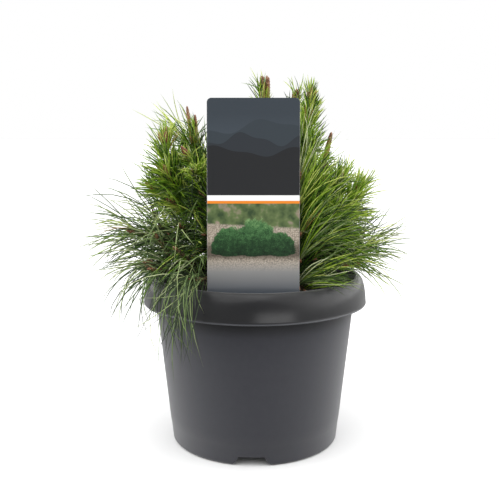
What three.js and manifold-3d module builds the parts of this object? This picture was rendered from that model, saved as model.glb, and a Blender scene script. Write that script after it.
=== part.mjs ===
// A young mugo pine in its nursery pot, with a plant label pushed into the soil.
// Millimetres, +Z up. The origin is the middle of the pot's underside, and -Y is the front.

import * as THREE from "three";
import { mergeVertices } from "three/addons/utils/BufferGeometryUtils.js";
import Module from "manifold-3d";

const wasm = await Module();
wasm.setup();

// ---------------------------------------------------------------- driving dimensions

const GAP = 0.3; // clearance between two pieces that touch
const RINGS = 48; // sides of the turned pieces

const POT = {
  height: 173.7,
  rimRadius: 115, // at the lower edge of the rim's skirt
  mouthRadius: 104, // at the inner edge of the rim
  baseRadius: 86.8,
  skirtDrop: 28.2, // from the top of the rim to the lower edge of its skirt
  skirtWall: 1.9,
  roofDrop: 5.5, // from the top of the rim to the underside of its roof
  lip: 1.4, // flat top of the rim
  flare: 0.1058, // growth of the radius for each millimetre of height
  wall: 1.7,
  edge: 3, // rounding of the base
  floorHeight: 9, // of the drainage channel's roof above the ground
  footRadius: 46, // flat foot in the middle of the base
  footDraft: 2, // slope of the channel's inner wall
  footRing: 3.5, // width of the ring under the wall
  notches: 3,
  notchTurn: -2.4, // degrees that the front notch stands round from the front
  notchWidth: 39,
  notchRoof: 24.4,
  notchHeight: 9.4,
  notchDepth: 10,
  drainHoles: 8,
  drainRadius: 5,
  drainSides: 10,
};

const SOIL = {
  top: 158,
  rimTop: 155, // where it meets the pot's wall
  flatRadius: 30, // level ground round the trunk
};

const TRUNK = {
  height: 74,
  lean: [5, 3], // how far the top stands from the foot in X and Y
  footRadius: 7.6,
  topRadius: 3.6,
  flare: 5.5, // extra radius of the root flare at ground level
  flareHeight: 16,
  sides: 10,
  steps: 8,
};

const LABEL = {
  width: 85,
  thickness: 0.9,
  corner: 4,
  top: 349, // height of the upper edge above the ground
  shoulder: 166, // height where the card narrows to its stake
  foot: 138, // height of the stake's point
  stakeWidth: 40,
  stakeSlope: 6, // fall of the shoulder from the card to the stake
  stakePoint: 9, // height of the stake's pointed end
  stakeEnd: 0.55, // width where the point starts, as a share of the stake's
  x: -2,
  y: -89, // of the card's middle plane where it passes the pot's rim
  lean: 5, // degrees that the card leans back
};

const BOUGH = {
  footRadius: 2.9,
  tipRadius: 2.1,
  firstHeight: 14, // height of the lowest bough's foot on the trunk
  lastHeight: 71, // and of the highest's
  kneeRise: 0.3, // height of the bend, as a share of the way up to the tip
  sides: 6,
  steps: 4,
};

const SHOOT = {
  tipRadius: 1.8,
  sideFootRadius: 2.1,
  sides: 4,
  steps: 3,
  perStem: 2, // side shoots on a stem
  perCandle: 1, // and on one that ends in a candle
  sideLean: 42, // degrees between a side shoot and its stem
  sideUpturn: 0.28, // share of its length that a side shoot's tip turns up
  sideFirst: 0.2, // share of the stem at which the first side shoot may stand
  sideLast: 0.5, // and the last
  sideTurn: 2, // spread of their turn round the stem, in radians
  sideReach: [0.42, 0.56], // their length as a share of the stem's
  sideKnee: 0.55, // share of a side shoot at which it turns up
};

const NEEDLE = {
  radius: 1.05,
  spacing: 3.05, // along the shoot from one needle to the next
  footTilt: 68, // degrees between needle and shoot, at the shoot's foot
  tipTilt: 22, // and at its tip
  tiltSpread: 16,
  turnSpread: 0.5, // radians
  firstShare: 0.1, // bare share of a shoot below its first needle
  lastShare: 0.99,
  lengths: [0.85, 1.1], // shortest and longest, as a share of the limb's needle
  tipLength: 0.62, // length of the needles round a bud, as a share of the limb's longest
  incurve: 0.14, // bend towards the shoot's tip, as a share of the length
  apart: 1.7, // least distance from the needles before it, beyond the root
  samples: 7, // points tested along each needle
};

// What is tried for each needle until one has room: share of its length, and extra turn
// round the shoot in radians.
const TRIES = [
  [1, 0],
  [1, 0.5],
  [1, -0.5],
  [0.75, 0.25],
  [0.75, -0.75],
];

const BUD = { length: 13, radius: 3.1, sunk: 3, widest: 0.35 };
const CANDLE = { length: 21, radius: 2.3, stalk: 15 };

// Tolerances for thinning out a cut piece and a fused mass, the first that works.
const THINNING = { cut: [0.05, 0.02], mass: [0.25, 0.2, 0.15, 0.1] };

const CLEAR = 2; // free distance kept round a needle
const SPACE_MARGIN = 3.6; // free strip between the spaces of two masses
const GOLDEN_ANGLE = Math.PI * (3 - Math.sqrt(5));
const UP = new THREE.Vector3(0, 0, 1);

// One row for each limb. turn is its compass angle in degrees from +X, seen from above, with
// the front at 270. reach and top place its tip, from the trunk's axis and above the soil.
// bend is the share of the reach at which the limb turns up, and bare the share with no
// needles. sides is the number of its side shoots where that isn't SHOOT's. A limb that ends
// in a candle has one long bare bud, and droop bends needles down.
const LIMBS = [
  { name: "left_crown", turn: 190, reach: 91, top: 150, bend: 1.02, bare: 0.42, needle: 46 },
  { name: "left_candle", turn: 178, reach: 63, top: 164, bend: 0.9, bare: 0.45, needle: 44, candle: true },
  { name: "left_high", turn: 140, reach: 30, top: 166, bend: 0.9, bare: 0.4, needle: 42 },
  { name: "leader", turn: 60, reach: 20, top: 199, bend: 0.8, bare: 0.36, needle: 38 },
  { name: "right_high", turn: 338, reach: 58, top: 190, bend: 0.86, bare: 0.38, sides: 1, needle: 40 },
  { name: "right_twin", turn: 28, reach: 48, top: 186, bend: 0.86, bare: 0.42, sides: 0, needle: 38 },
  { name: "right_candle", turn: 352, reach: 72, top: 138, bend: 0.8, bare: 0.4, needle: 44, candle: true },
  { name: "right_crown", turn: 354, reach: 105, top: 101, bend: 0.84, bare: 0.4, needle: 48 },
  { name: "right_low", turn: 4, reach: 118, top: 40, bend: 0.62, bare: 0.36, needle: 56, droop: 0.15 },
  { name: "front_right", turn: 316, reach: 92, top: 54, bend: 0.7, bare: 0.38, needle: 58 },
  { name: "front_centre", turn: 272, reach: 50, top: 92, bend: 0.85, bare: 0.42, needle: 44 },
  { name: "left_low", turn: 206, reach: 122, top: 36, bend: 0.66, bare: 0.38, needle: 60, droop: 0.22 },
  { name: "left_middle", turn: 184, reach: 132, top: 62, bend: 0.62, bare: 0.38, needle: 60, droop: 0.06 },
  { name: "front_left", turn: 241, reach: 108, top: 27, bend: 0.5, bare: 0.4, sides: 1, needle: 80, droop: 1.15 },
  { name: "back_left", turn: 134, reach: 96, top: 112, bend: 0.86, bare: 0.4, needle: 48 },
  { name: "back", turn: 92, reach: 96, top: 90, bend: 0.8, bare: 0.4, needle: 50 },
  { name: "back_right", turn: 48, reach: 98, top: 116, bend: 0.86, bare: 0.4, needle: 48 },
  { name: "back_high", turn: 105, reach: 52, top: 158, bend: 0.9, bare: 0.4, needle: 42 },
  { name: "back_left_low", turn: 154, reach: 112, top: 44, bend: 0.62, bare: 0.36, needle: 56, droop: 0.12 },
  { name: "back_right_low", turn: 28, reach: 114, top: 42, bend: 0.62, bare: 0.36, needle: 56, droop: 0.12 },
  { name: "back_low", turn: 104, reach: 112, top: 30, bend: 0.6, bare: 0.38, needle: 56, droop: 0.3 },
];

const FINISH = {
  pot: { color: 0x46474b, roughness: 0.55, metalness: 0 },
  soil: { color: 0x2a211b, roughness: 1, metalness: 0 },
  bark: { color: 0x5d4634, roughness: 0.9, metalness: 0 },
  needles: { color: 0x4d7328, roughness: 0.5, metalness: 0 },
  label: { color: 0x33353a, roughness: 0.35, metalness: 0 },
};

// ---------------------------------------------------------------- seeded rule and small maths

// A repeatable stream of numbers from 0 to 1.
function seeded(seed) {
  let state = seed >>> 0;
  return () => {
    state = (state + 0x6d2b79f5) >>> 0;
    let mixed = Math.imul(state ^ (state >>> 15), state | 1);
    mixed ^= mixed + Math.imul(mixed ^ (mixed >>> 7), mixed | 61);
    return ((mixed ^ (mixed >>> 14)) >>> 0) / 4294967296;
  };
}

const mix = THREE.MathUtils.lerp;
const radians = THREE.MathUtils.degToRad;

// Two unit vectors square to the tangent, the first as near to hint as it can be.
function crossAxes(tangent, hint) {
  const first = hint.clone().addScaledVector(tangent, -hint.dot(tangent)).normalize();
  return [first, first.clone().cross(tangent)];
}

function pointToSegment(point, from, to) {
  const along = to.clone().sub(from);
  const share = point.clone().sub(from).dot(along) / along.lengthSq();
  return from.clone().addScaledVector(along, Math.min(1, Math.max(0, share))).distanceTo(point);
}

function distanceToLine(point, line) {
  let nearest = Infinity;
  for (let i = 1; i < line.length; i++) {
    nearest = Math.min(nearest, pointToSegment(point, line[i - 1], line[i]));
  }
  return nearest;
}

// ---------------------------------------------------------------- solids

// A closed geometry as a manifold solid.
function solidOf(geometry) {
  const bare = new THREE.BufferGeometry();
  bare.setAttribute("position", geometry.getAttribute("position"));
  bare.setIndex(geometry.getIndex());
  const merged = mergeVertices(bare, 1e-3);
  const vertProperties = new Float32Array(merged.getAttribute("position").array);
  const triVerts = new Uint32Array(merged.getIndex().array);
  return new wasm.Manifold(new wasm.Mesh({ numProp: 3, vertProperties, triVerts }));
}

// The largest body of a manifold solid as a geometry, without the scraps a cut can leave.
function geometryOf(solid) {
  const bodies = solid.decompose().sort((a, b) => b.volume() - a.volume());
  const mesh = bodies[0].getMesh();
  const geometry = new THREE.BufferGeometry();
  geometry.setAttribute("position", new THREE.BufferAttribute(mesh.vertProperties, 3));
  geometry.setIndex(new THREE.BufferAttribute(mesh.triVerts, 1));
  geometry.computeVertexNormals();
  return geometry;
}

// A solid with fewer triangles, no surface moved by more than the first tolerance that
// leaves every vertex in a place of its own.
function thinned(solid, tolerances) {
  const plain = solid.asOriginal();
  const options = tolerances.map((tolerance) => plain.simplify(tolerance));
  return options.find(verticesApart) ?? plain;
}

function verticesApart(solid) {
  const { vertProperties, numVert } = solid.getMesh();
  const places = new Set();
  for (let i = 0; i < numVert; i++) places.add(vertProperties.slice(3 * i, 3 * i + 3).join());
  return places.size === numVert;
}

function mesh(name, geometry, finish) {
  const made = new THREE.Mesh(geometry, new THREE.MeshStandardMaterial(FINISH[finish]));
  made.name = name;
  return made;
}

// Turns a profile of [radius, height] pairs about the Z axis.
function turned(profile) {
  const points = profile.map(([radius, height]) => new THREE.Vector2(radius, height));
  return new THREE.LatheGeometry(points, RINGS).rotateX(Math.PI / 2);
}

// Moves an upright cylinder or cone of unit height onto a curve, ring by ring.
function alongCurve(geometry, curve, radiusAt, hint) {
  const position = geometry.getAttribute("position");
  const vertex = new THREE.Vector3();
  for (let i = 0; i < position.count; i++) {
    vertex.fromBufferAttribute(position, i);
    const share = vertex.y + 0.5;
    const [first, second] = crossAxes(curve.getTangent(share), hint);
    const placed = curve
      .getPoint(share)
      .addScaledVector(first, vertex.x * radiusAt(share))
      .addScaledVector(second, vertex.z * radiusAt(share));
    position.setXYZ(i, placed.x, placed.y, placed.z);
  }
  return geometry;
}

function limb(curve, radiusAt, sides, steps, hint) {
  return alongCurve(new THREE.CylinderGeometry(1, 1, 1, sides, steps), curve, radiusAt, hint);
}

// ---------------------------------------------------------------- pot, soil and label

const outerWall = (height) => POT.baseRadius + POT.flare * height;
const innerWall = (height) => outerWall(height) - POT.wall;

function potGeometry() {
  const skirt = POT.height - POT.skirtDrop;
  const roof = POT.height - POT.roofDrop;
  const floorTop = POT.floorHeight + POT.wall;
  const ringInside = POT.baseRadius - POT.footRing;
  const skirtInside = POT.rimRadius - POT.skirtWall;
  const shoulder = new THREE.QuadraticBezierCurve(
    new THREE.Vector2(POT.rimRadius, skirt),
    new THREE.Vector2(POT.rimRadius - 1.8, POT.height - 1),
    new THREE.Vector2(POT.mouthRadius + POT.lip, POT.height),
  );
  const underside = [
    [0, 0],
    [POT.footRadius, 0],
    [POT.footRadius + POT.footDraft, POT.floorHeight],
    [ringInside, POT.floorHeight],
    [ringInside, 0],
    [outerWall(0) - POT.edge, 0],
  ];
  const outside = [
    [outerWall(POT.edge), POT.edge],
    [outerWall(roof), roof],
    [skirtInside - POT.roofDrop / 2, roof],
    [skirtInside - POT.skirtWall, (skirt + 2 * roof) / 3],
    [skirtInside, skirt],
  ];
  const inside = [
    [POT.mouthRadius, POT.height - POT.lip / 2],
    [innerWall(roof), roof],
    [innerWall(floorTop), floorTop],
    [POT.footRadius + POT.footDraft - POT.wall, floorTop],
    [POT.footRadius - POT.wall, POT.wall],
    [0, POT.wall],
  ];
  const rim = shoulder.getPoints(5).map((point) => [point.x, point.y]);
  const body = solidOf(turned([...underside, ...outside, ...rim, ...inside]));
  return geometryOf(thinned(cutDrainage(body), THINNING.cut));
}

// Cuts the drain holes in the channel's roof and the notches in the foot ring.
function cutDrainage(body) {
  const middle = (POT.footRadius + POT.baseRadius) / 2;
  let cut = body;
  for (let i = 0; i < POT.drainHoles; i++) {
    const hole = new THREE.CylinderGeometry(POT.drainRadius, POT.drainRadius, POT.floorHeight, POT.drainSides)
      .rotateX(Math.PI / 2)
      .translate(middle, 0, POT.floorHeight + POT.wall / 2)
      .rotateZ((2 * Math.PI * (i + 0.5)) / POT.drainHoles);
    cut = cut.subtract(solidOf(hole));
  }
  const outline = new THREE.Shape();
  outline.moveTo(-POT.notchWidth / 2, -1);
  outline.lineTo(POT.notchWidth / 2, -1);
  outline.lineTo(POT.notchRoof / 2, POT.notchHeight);
  outline.lineTo(-POT.notchRoof / 2, POT.notchHeight);
  for (let i = 0; i < POT.notches; i++) {
    const notch = new THREE.ExtrudeGeometry(outline, { depth: 2 * POT.notchDepth, bevelEnabled: false })
      .rotateX(Math.PI / 2)
      .translate(0, POT.notchDepth - POT.baseRadius, 0)
      .rotateZ(radians(POT.notchTurn) + (2 * Math.PI * i) / POT.notches);
    cut = cut.subtract(solidOf(notch));
  }
  return cut;
}

function soilGeometry(label) {
  const floorTop = POT.floorHeight + POT.wall + GAP;
  const heap = solidOf(
    turned([
      [0, POT.wall + GAP],
      [POT.footRadius - POT.wall - GAP, POT.wall + GAP],
      [POT.footRadius + 2 - POT.wall - GAP, floorTop],
      [innerWall(floorTop) - GAP, floorTop],
      [innerWall(SOIL.rimTop) - GAP, SOIL.rimTop],
      [SOIL.flatRadius, SOIL.top],
      [0, SOIL.top],
    ]),
  );
  const slot = labelGeometry(GAP).applyMatrix4(label.matrix);
  return geometryOf(heap.subtract(solidOf(slot)));
}

// The card stands upright here, with the middle of its rim line at the origin. spread makes
// it that much larger all round, for the slot in the soil.
function labelGeometry(spread = 0) {
  const half = LABEL.width / 2 + spread;
  const rise = LABEL.top - POT.height + spread;
  const shoulder = LABEL.shoulder - POT.height;
  const foot = LABEL.foot - POT.height - 2 * spread;
  const stake = LABEL.stakeWidth / 2 + spread;
  const outline = new THREE.Shape();
  outline.moveTo(0, foot);
  outline.lineTo(stake * LABEL.stakeEnd, foot + LABEL.stakePoint);
  outline.lineTo(stake, shoulder - LABEL.stakeSlope);
  outline.lineTo(half, shoulder);
  outline.lineTo(half, rise - LABEL.corner);
  outline.absarc(half - LABEL.corner, rise - LABEL.corner, LABEL.corner, 0, Math.PI / 2);
  outline.absarc(LABEL.corner - half, rise - LABEL.corner, LABEL.corner, Math.PI / 2, Math.PI);
  outline.lineTo(-half, shoulder);
  outline.lineTo(-stake, shoulder - LABEL.stakeSlope);
  outline.lineTo(-stake * LABEL.stakeEnd, foot + LABEL.stakePoint);
  const depth = LABEL.thickness + 2 * spread;
  return new THREE.ExtrudeGeometry(outline, { depth, bevelEnabled: false, curveSegments: 3 })
    .translate(0, 0, -depth / 2)
    .rotateX(Math.PI / 2);
}

function buildLabel() {
  const label = mesh("plant_label", labelGeometry(), "label");
  label.position.set(LABEL.x, LABEL.y, POT.height);
  label.rotation.x = -radians(LABEL.lean);
  label.updateMatrix();
  return label;
}

// ---------------------------------------------------------------- trunk and limbs

// Heights from here on are above the soil: the plant stands in a group at ground level.

const trunkCurve = new THREE.QuadraticBezierCurve3(
  new THREE.Vector3(0, 0, GAP),
  new THREE.Vector3(0, 0, TRUNK.height * 0.5),
  new THREE.Vector3(TRUNK.lean[0], TRUNK.lean[1], TRUNK.height),
);

function trunkRadius(share) {
  const flare = Math.max(0, 1 - (share * TRUNK.height) / TRUNK.flareHeight);
  return mix(TRUNK.footRadius, TRUNK.topRadius, share) + TRUNK.flare * flare ** 2;
}

function trunkGeometry(spread = 0) {
  const geometry = new THREE.CylinderGeometry(1, 1, 1, TRUNK.sides, TRUNK.steps);
  const hint = new THREE.Vector3(1, 0, 0);
  return alongCurve(geometry, trunkCurve, (share) => trunkRadius(share) + spread, hint);
}

// The line of each limb from the trunk to its tip. Limbs with higher tips leave the trunk
// higher up, the leader from its top.
function limbCurves() {
  const byTop = [...LIMBS].sort((a, b) => a.top - b.top);
  return LIMBS.map((row) => {
    const rank = byTop.indexOf(row) / (LIMBS.length - 1);
    const height = mix(BOUGH.firstHeight, BOUGH.lastHeight, rank);
    const foot = trunkCurve.getPoint(height / TRUNK.height);
    const turn = radians(row.turn);
    const outward = new THREE.Vector3(Math.cos(turn), Math.sin(turn), 0);
    const tip = outward.clone().multiplyScalar(row.reach).setZ(row.top);
    const knee = foot.clone().lerp(tip, row.bend).setZ(mix(height, row.top, BOUGH.kneeRise));
    return {
      ...row,
      curve: new THREE.QuadraticBezierCurve3(foot, knee, tip),
      hint: new THREE.Vector3(-Math.sin(turn), Math.cos(turn), 0),
    };
  });
}

const limbs = limbCurves();

const boughRadius = (share) => mix(BOUGH.footRadius, BOUGH.tipRadius, share);

// The stretch of a curve between two shares of it.
function stretch(curve, from, to) {
  const start = curve.getPoint(from);
  const end = curve.getPoint(to);
  const middle = curve.getPoint((from + to) / 2);
  const control = middle.multiplyScalar(2).sub(start.clone().add(end).multiplyScalar(0.5));
  return new THREE.QuadraticBezierCurve3(start, control, end);
}

const lineOf = (curve, steps) => curve.getPoints(steps);

for (const row of limbs) {
  const gapShare = GAP / row.curve.getLength();
  row.bough = stretch(row.curve, 0, row.bare);
  row.stem = stretch(row.curve, row.bare + gapShare, 1);
  row.boughLine = lineOf(row.bough, 8);
  row.stemLine = lineOf(row.stem, 12);
}

// Each bough is cut clear of the trunk and of the boughs made before it.
function boughGeometries() {
  let made = solidOf(trunkGeometry(GAP));
  return limbs.map((row) => {
    const shape = (spread) =>
      solidOf(limb(row.bough, (share) => boughRadius(share) + spread, BOUGH.sides, BOUGH.steps, row.hint));
    const bough = shape(0).subtract(made);
    made = made.add(shape(GAP));
    return geometryOf(thinned(bough, THINNING.cut));
  });
}

// ---------------------------------------------------------------- room for needles

const trunkLine = lineOf(trunkCurve, 8);
const label = buildLabel();
const toLabel = label.matrix.clone().invert();

// Whether a point above the soil is clear of the pot and the soil.
function clearOfPot(point) {
  const height = point.z + SOIL.top;
  const radius = Math.hypot(point.x, point.y);
  const over = height > POT.height + CLEAR;
  const outside = radius > POT.rimRadius + CLEAR && height > CLEAR;
  const inside = radius < innerWall(height) - CLEAR && point.z > CLEAR;
  return over || outside || inside;
}

function clearOfLabel(point) {
  const onCard = point.clone().setZ(point.z + SOIL.top).applyMatrix4(toLabel);
  const beside = Math.abs(onCard.x) > LABEL.width / 2 + CLEAR;
  const above = onCard.z > LABEL.top - POT.height + CLEAR;
  return beside || above || onCard.y > LABEL.thickness / 2 + CLEAR;
}

function clearOfLimbs(point) {
  if (distanceToLine(point, trunkLine) < TRUNK.footRadius + CLEAR) return false;
  return limbs.every((row) => distanceToLine(point, row.boughLine) > BOUGH.footRadius + CLEAR);
}

// A mass's space is every point that is nearer to its own stem than to any other.
function inOwnSpace(point, own) {
  const limit = distanceToLine(point, own.stemLine) + SPACE_MARGIN;
  return limbs.every((row) => row === own || distanceToLine(point, row.stemLine) > limit);
}

function hasRoom(point, own) {
  return clearOfPot(point) && clearOfLabel(point) && clearOfLimbs(point) && inOwnSpace(point, own);
}

// ---------------------------------------------------------------- masses of needles

// Side shoots leave the stem one after the other, each a golden angle round from the last.
function sideShoots(row, random) {
  const made = [];
  const length = row.stem.getLength();
  const sides = row.sides ?? (row.candle ? SHOOT.perCandle : SHOOT.perStem);
  for (let i = 0; i < sides; i++) {
    const share = mix(SHOOT.sideFirst, SHOOT.sideLast, (i + random()) / sides);
    const tangent = row.stem.getTangent(share);
    const [first, second] = crossAxes(tangent, row.hint);
    const turn = GOLDEN_ANGLE * (i + 1) + random() * SHOOT.sideTurn;
    const lean = radians(SHOOT.sideLean);
    const heading = tangent
      .multiplyScalar(Math.cos(lean))
      .addScaledVector(first, Math.cos(turn) * Math.sin(lean))
      .addScaledVector(second, Math.sin(turn) * Math.sin(lean));
    const reach = length * mix(...SHOOT.sideReach, random());
    const foot = row.stem.getPoint(share);
    const knee = foot.clone().addScaledVector(heading, reach * SHOOT.sideKnee);
    const tip = foot.clone().addScaledVector(heading, reach).addScaledVector(UP, reach * SHOOT.sideUpturn);
    const curve = new THREE.QuadraticBezierCurve3(foot, knee, tip);
    const beyond = [0.45, 0.7, 1].map((at) => curve.getPoint(at));
    if (beyond.every((point) => hasRoom(point, row))) {
      made.push({ curve, hint: row.hint, footRadius: SHOOT.sideFootRadius });
    }
  }
  return made;
}

// The line of one needle from its root, bent towards the shoot's tip and the ground.
function needleCurve(root, heading, tangent, length, droop) {
  const knee = root.clone().addScaledVector(heading, length * 0.5);
  const tip = root
    .clone()
    .addScaledVector(heading, length)
    .addScaledVector(tangent, length * NEEDLE.incurve)
    .addScaledVector(UP, -length * droop);
  return new THREE.QuadraticBezierCurve3(root, knee, tip);
}

// Whether a needle keeps to its mass's space and clear of the needles before it.
function needleHasRoom(line, row, taken) {
  return line.slice(2).every((point) => {
    const crossed = taken.some((other) => distanceToLine(point, other) < NEEDLE.apart);
    return !crossed && hasRoom(point, row);
  });
}

// The needles of one shoot, in a spiral from its foot to its tip. taken holds the lines of
// the needles made so far.
function needlesOf(shoot, row, random, taken) {
  const made = [];
  const steps = row.droop ? 2 : 1;
  const count = Math.round(shoot.curve.getLength() / NEEDLE.spacing);
  for (let i = 0; i < count; i++) {
    const share = mix(NEEDLE.firstShare, NEEDLE.lastShare, (i + 0.5) / count);
    const root = shoot.curve.getPoint(share);
    const tangent = shoot.curve.getTangent(share);
    const [first, second] = crossAxes(tangent, shoot.hint);
    const turn = GOLDEN_ANGLE * i + random() * NEEDLE.turnSpread;
    const evenTilt = mix(NEEDLE.footTilt, NEEDLE.tipTilt, share);
    const tilt = radians(evenTilt + (random() - 0.5) * NEEDLE.tiltSpread);
    const full = row.needle * mix(...NEEDLE.lengths, random()) * mix(1, NEEDLE.tipLength, share ** 2);
    for (const [lengthShare, swing] of TRIES) {
      const heading = tangent
        .clone()
        .multiplyScalar(Math.cos(tilt))
        .addScaledVector(first, Math.sin(tilt) * Math.cos(turn + swing))
        .addScaledVector(second, Math.sin(tilt) * Math.sin(turn + swing));
      const curve = needleCurve(root, heading, tangent, full * lengthShare, row.droop ?? 0);
      const line = steps === 1 ? straight(curve) : lineOf(curve, NEEDLE.samples);
      if (!needleHasRoom(line, row, taken)) continue;
      taken.push(line.slice(1));
      const spike = new THREE.ConeGeometry(1, 1, 3, steps, false, random() * 2);
      made.push(alongCurve(spike, curve, () => NEEDLE.radius, first));
      break;
    }
  }
  return made;
}

// The points tested on a needle that is drawn as one straight spike.
function straight(curve) {
  const ends = new THREE.LineCurve3(curve.v0, curve.v2);
  return lineOf(ends, NEEDLE.samples);
}

// A spindle from foot to tip, for a bud or a candle.
function spindle(foot, heading, length, radius) {
  const profile = [
    [0, 0],
    [radius, length * BUD.widest],
    [0, length],
  ].map(([across, along]) => new THREE.Vector2(across, along));
  const turnToHeading = new THREE.Quaternion().setFromUnitVectors(new THREE.Vector3(0, 1, 0), heading);
  return new THREE.LatheGeometry(profile, 4)
    .applyQuaternion(turnToHeading)
    .translate(foot.x, foot.y, foot.z);
}

// The resting bud at a shoot's tip.
function budOf(shoot) {
  const heading = shoot.curve.getTangent(1);
  const foot = shoot.curve.getPoint(1).addScaledVector(heading, -BUD.sunk);
  return spindle(foot, heading, BUD.length, BUD.radius);
}

// A candle: a bud that has stretched into a bare new shoot.
function candleOf(shoot) {
  const heading = shoot.curve.getTangent(1);
  const foot = shoot.curve.getPoint(1).addScaledVector(heading, -CANDLE.stalk);
  return spindle(foot, heading, CANDLE.length + CANDLE.stalk, CANDLE.radius);
}

function massGeometry(row, index) {
  const random = seeded(index + 1);
  const main = { curve: row.stem, hint: row.hint, footRadius: BOUGH.tipRadius };
  const shoots = [main, ...sideShoots(row, random)];
  const parts = [];
  const taken = [];
  for (const shoot of shoots) {
    const radiusAt = (share) => mix(shoot.footRadius, SHOOT.tipRadius, share);
    parts.push(limb(shoot.curve, radiusAt, SHOOT.sides, SHOOT.steps, shoot.hint));
    parts.push(...needlesOf(shoot, row, random, taken));
    parts.push(row.candle && shoot === main ? candleOf(shoot) : budOf(shoot));
  }
  return geometryOf(thinned(wasm.Manifold.union(parts.map(solidOf)), THINNING.mass));
}

// ---------------------------------------------------------------- the whole plant

const potted = new THREE.Group();
potted.add(mesh("pot", potGeometry(), "pot"));
potted.add(mesh("soil", soilGeometry(label), "soil"));
potted.add(label);

const plant = new THREE.Group();
plant.position.z = SOIL.top;
plant.add(mesh("trunk", trunkGeometry(), "bark"));
boughGeometries().forEach((geometry, i) => plant.add(mesh("bough_" + limbs[i].name, geometry, "bark")));
limbs.forEach((row, i) => plant.add(mesh("needles_" + row.name, massGeometry(row, i), "needles")));
potted.add(plant);

export default potted;
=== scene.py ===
"""A young mugo pine in its nursery pot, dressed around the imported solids.

Sizes and places are millimetres, turned into metres as each mesh is made. The origin is the
middle of the pot's underside, +Z is up and -Y is the front.
"""

import math
from dataclasses import dataclass, replace

import bmesh
import bpy
import numpy as np
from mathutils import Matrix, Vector, noise


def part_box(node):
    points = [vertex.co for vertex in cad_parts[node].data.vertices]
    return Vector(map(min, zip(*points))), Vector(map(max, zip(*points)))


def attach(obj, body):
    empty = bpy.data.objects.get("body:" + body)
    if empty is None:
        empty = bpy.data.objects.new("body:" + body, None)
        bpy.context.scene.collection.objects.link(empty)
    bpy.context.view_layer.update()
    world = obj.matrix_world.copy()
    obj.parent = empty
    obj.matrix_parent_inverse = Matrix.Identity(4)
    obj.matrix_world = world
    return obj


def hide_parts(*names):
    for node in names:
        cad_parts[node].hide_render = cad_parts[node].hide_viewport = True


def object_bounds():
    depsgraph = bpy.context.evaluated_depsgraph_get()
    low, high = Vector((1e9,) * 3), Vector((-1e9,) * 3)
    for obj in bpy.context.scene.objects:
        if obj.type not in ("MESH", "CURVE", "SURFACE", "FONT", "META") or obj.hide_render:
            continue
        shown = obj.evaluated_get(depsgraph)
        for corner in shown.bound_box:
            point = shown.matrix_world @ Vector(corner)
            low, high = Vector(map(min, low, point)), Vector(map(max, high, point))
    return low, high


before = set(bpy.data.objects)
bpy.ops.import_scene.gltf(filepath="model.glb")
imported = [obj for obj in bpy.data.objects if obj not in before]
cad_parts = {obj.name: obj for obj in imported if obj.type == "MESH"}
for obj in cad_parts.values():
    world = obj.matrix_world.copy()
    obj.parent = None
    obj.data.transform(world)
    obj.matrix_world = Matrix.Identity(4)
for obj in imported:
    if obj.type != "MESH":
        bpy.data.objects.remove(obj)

MM = 0.001
CAD_BOX = [list(corner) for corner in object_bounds()]

# ---------------------------------------------------------------- sizes taken from the solids


def box_mm(node):
    """The lowest and highest corner of a solid, in millimetres."""
    return [np.array(corner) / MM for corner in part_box(node)]


POT_LOW, POT_HIGH = box_mm("pot")
LABEL_LOW, LABEL_HIGH = box_mm("plant_label")

POT_HEIGHT = POT_HIGH[2]
RIM_RADIUS = (POT_HIGH[0] - POT_LOW[0]) / 2
SOIL_TOP = box_mm("soil")[1][2]
TRUNK_HEIGHT = box_mm("trunk")[1][2] - SOIL_TOP
LABEL_TOP = float(LABEL_HIGH[2])
LABEL_MIDDLE = float((LABEL_LOW[0] + LABEL_HIGH[0]) / 2)
LABEL_HALF = float((LABEL_HIGH[0] - LABEL_LOW[0]) / 2)

# ---------------------------------------------------------------- driving dimensions

POT = {
    "sides": 192,
    "mouth": 104,  # radius at the inner edge of the rim
    "base": 86.8,
    "skirt_drop": 28.2,  # from the top of the rim to the lower edge of its skirt
    "skirt_wall": 1.9,
    "skirt_draft": [1, 0.4],  # how much thicker it is at its top and near its lower edge
    "skirt_heights": [6, 0.5],  # over that edge, of the second of these and of its thinnest place
    "bead": 0.7,  # how far the lower edge of the skirt rolls out
    "bead_height": 3.5,
    "shoulder_knee": [1.8, 1],  # of the rim's rounded top, in from its side and down from its top
    "roof_drop": 5.5,  # from the top of the rim to the underside of its roof
    "roof_round": 3,
    "inner_start": 8,  # from the rim's roof down to the first even ring of the wall's inside
    "lip": 1.4,
    "flare": 0.1058,  # growth of the radius for each millimetre of height
    "wall": 1.7,
    "edge": 3,  # rounding of the base
    "fillet": 2,  # rounding of the inner corners
    "round": 0.8,  # rounding of the lip and of the skirt's lower edge
    "step": 20,  # height of the faint step round the base
    "step_depth": 0.35,
    "step_height": 1.2,
    "outer_start": 12,  # from the step up to the first even ring of the wall's outside
    "floor": 9,  # height of the drainage channel's roof
    "foot": 46,  # radius of the flat foot in the middle
    "foot_draft": 2,
    "foot_round": 1,
    "ring": 3.5,  # width of the ring under the wall
    "ring_round": 0.3,
    "notches": 3,
    "notch_turn": -2.4,  # degrees that the front notch stands round from the front
    "notch_depth": 10,
    "drains": 8,
    "drain_radius": 5,
    "drain_reach": 6,  # of the cut, above and below the channel's roof
}

SOIL = {
    "sides": 160,
    "rings": 60,
    "gap": 0.3,  # left between the soil and what stands in it or round it
    "edge_drop": 3,  # how much lower the soil lies at the wall
    "flat": 30,  # radius of the level ground round the trunk
    "lumps": 1.3,  # height of the lumps
    "lump_size": 7,
    "lump_noise": (0.9, 2.1, 4),  # falloff, spacing and number of its octaves
    "lump_range": [-1.2, 1],
}

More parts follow.
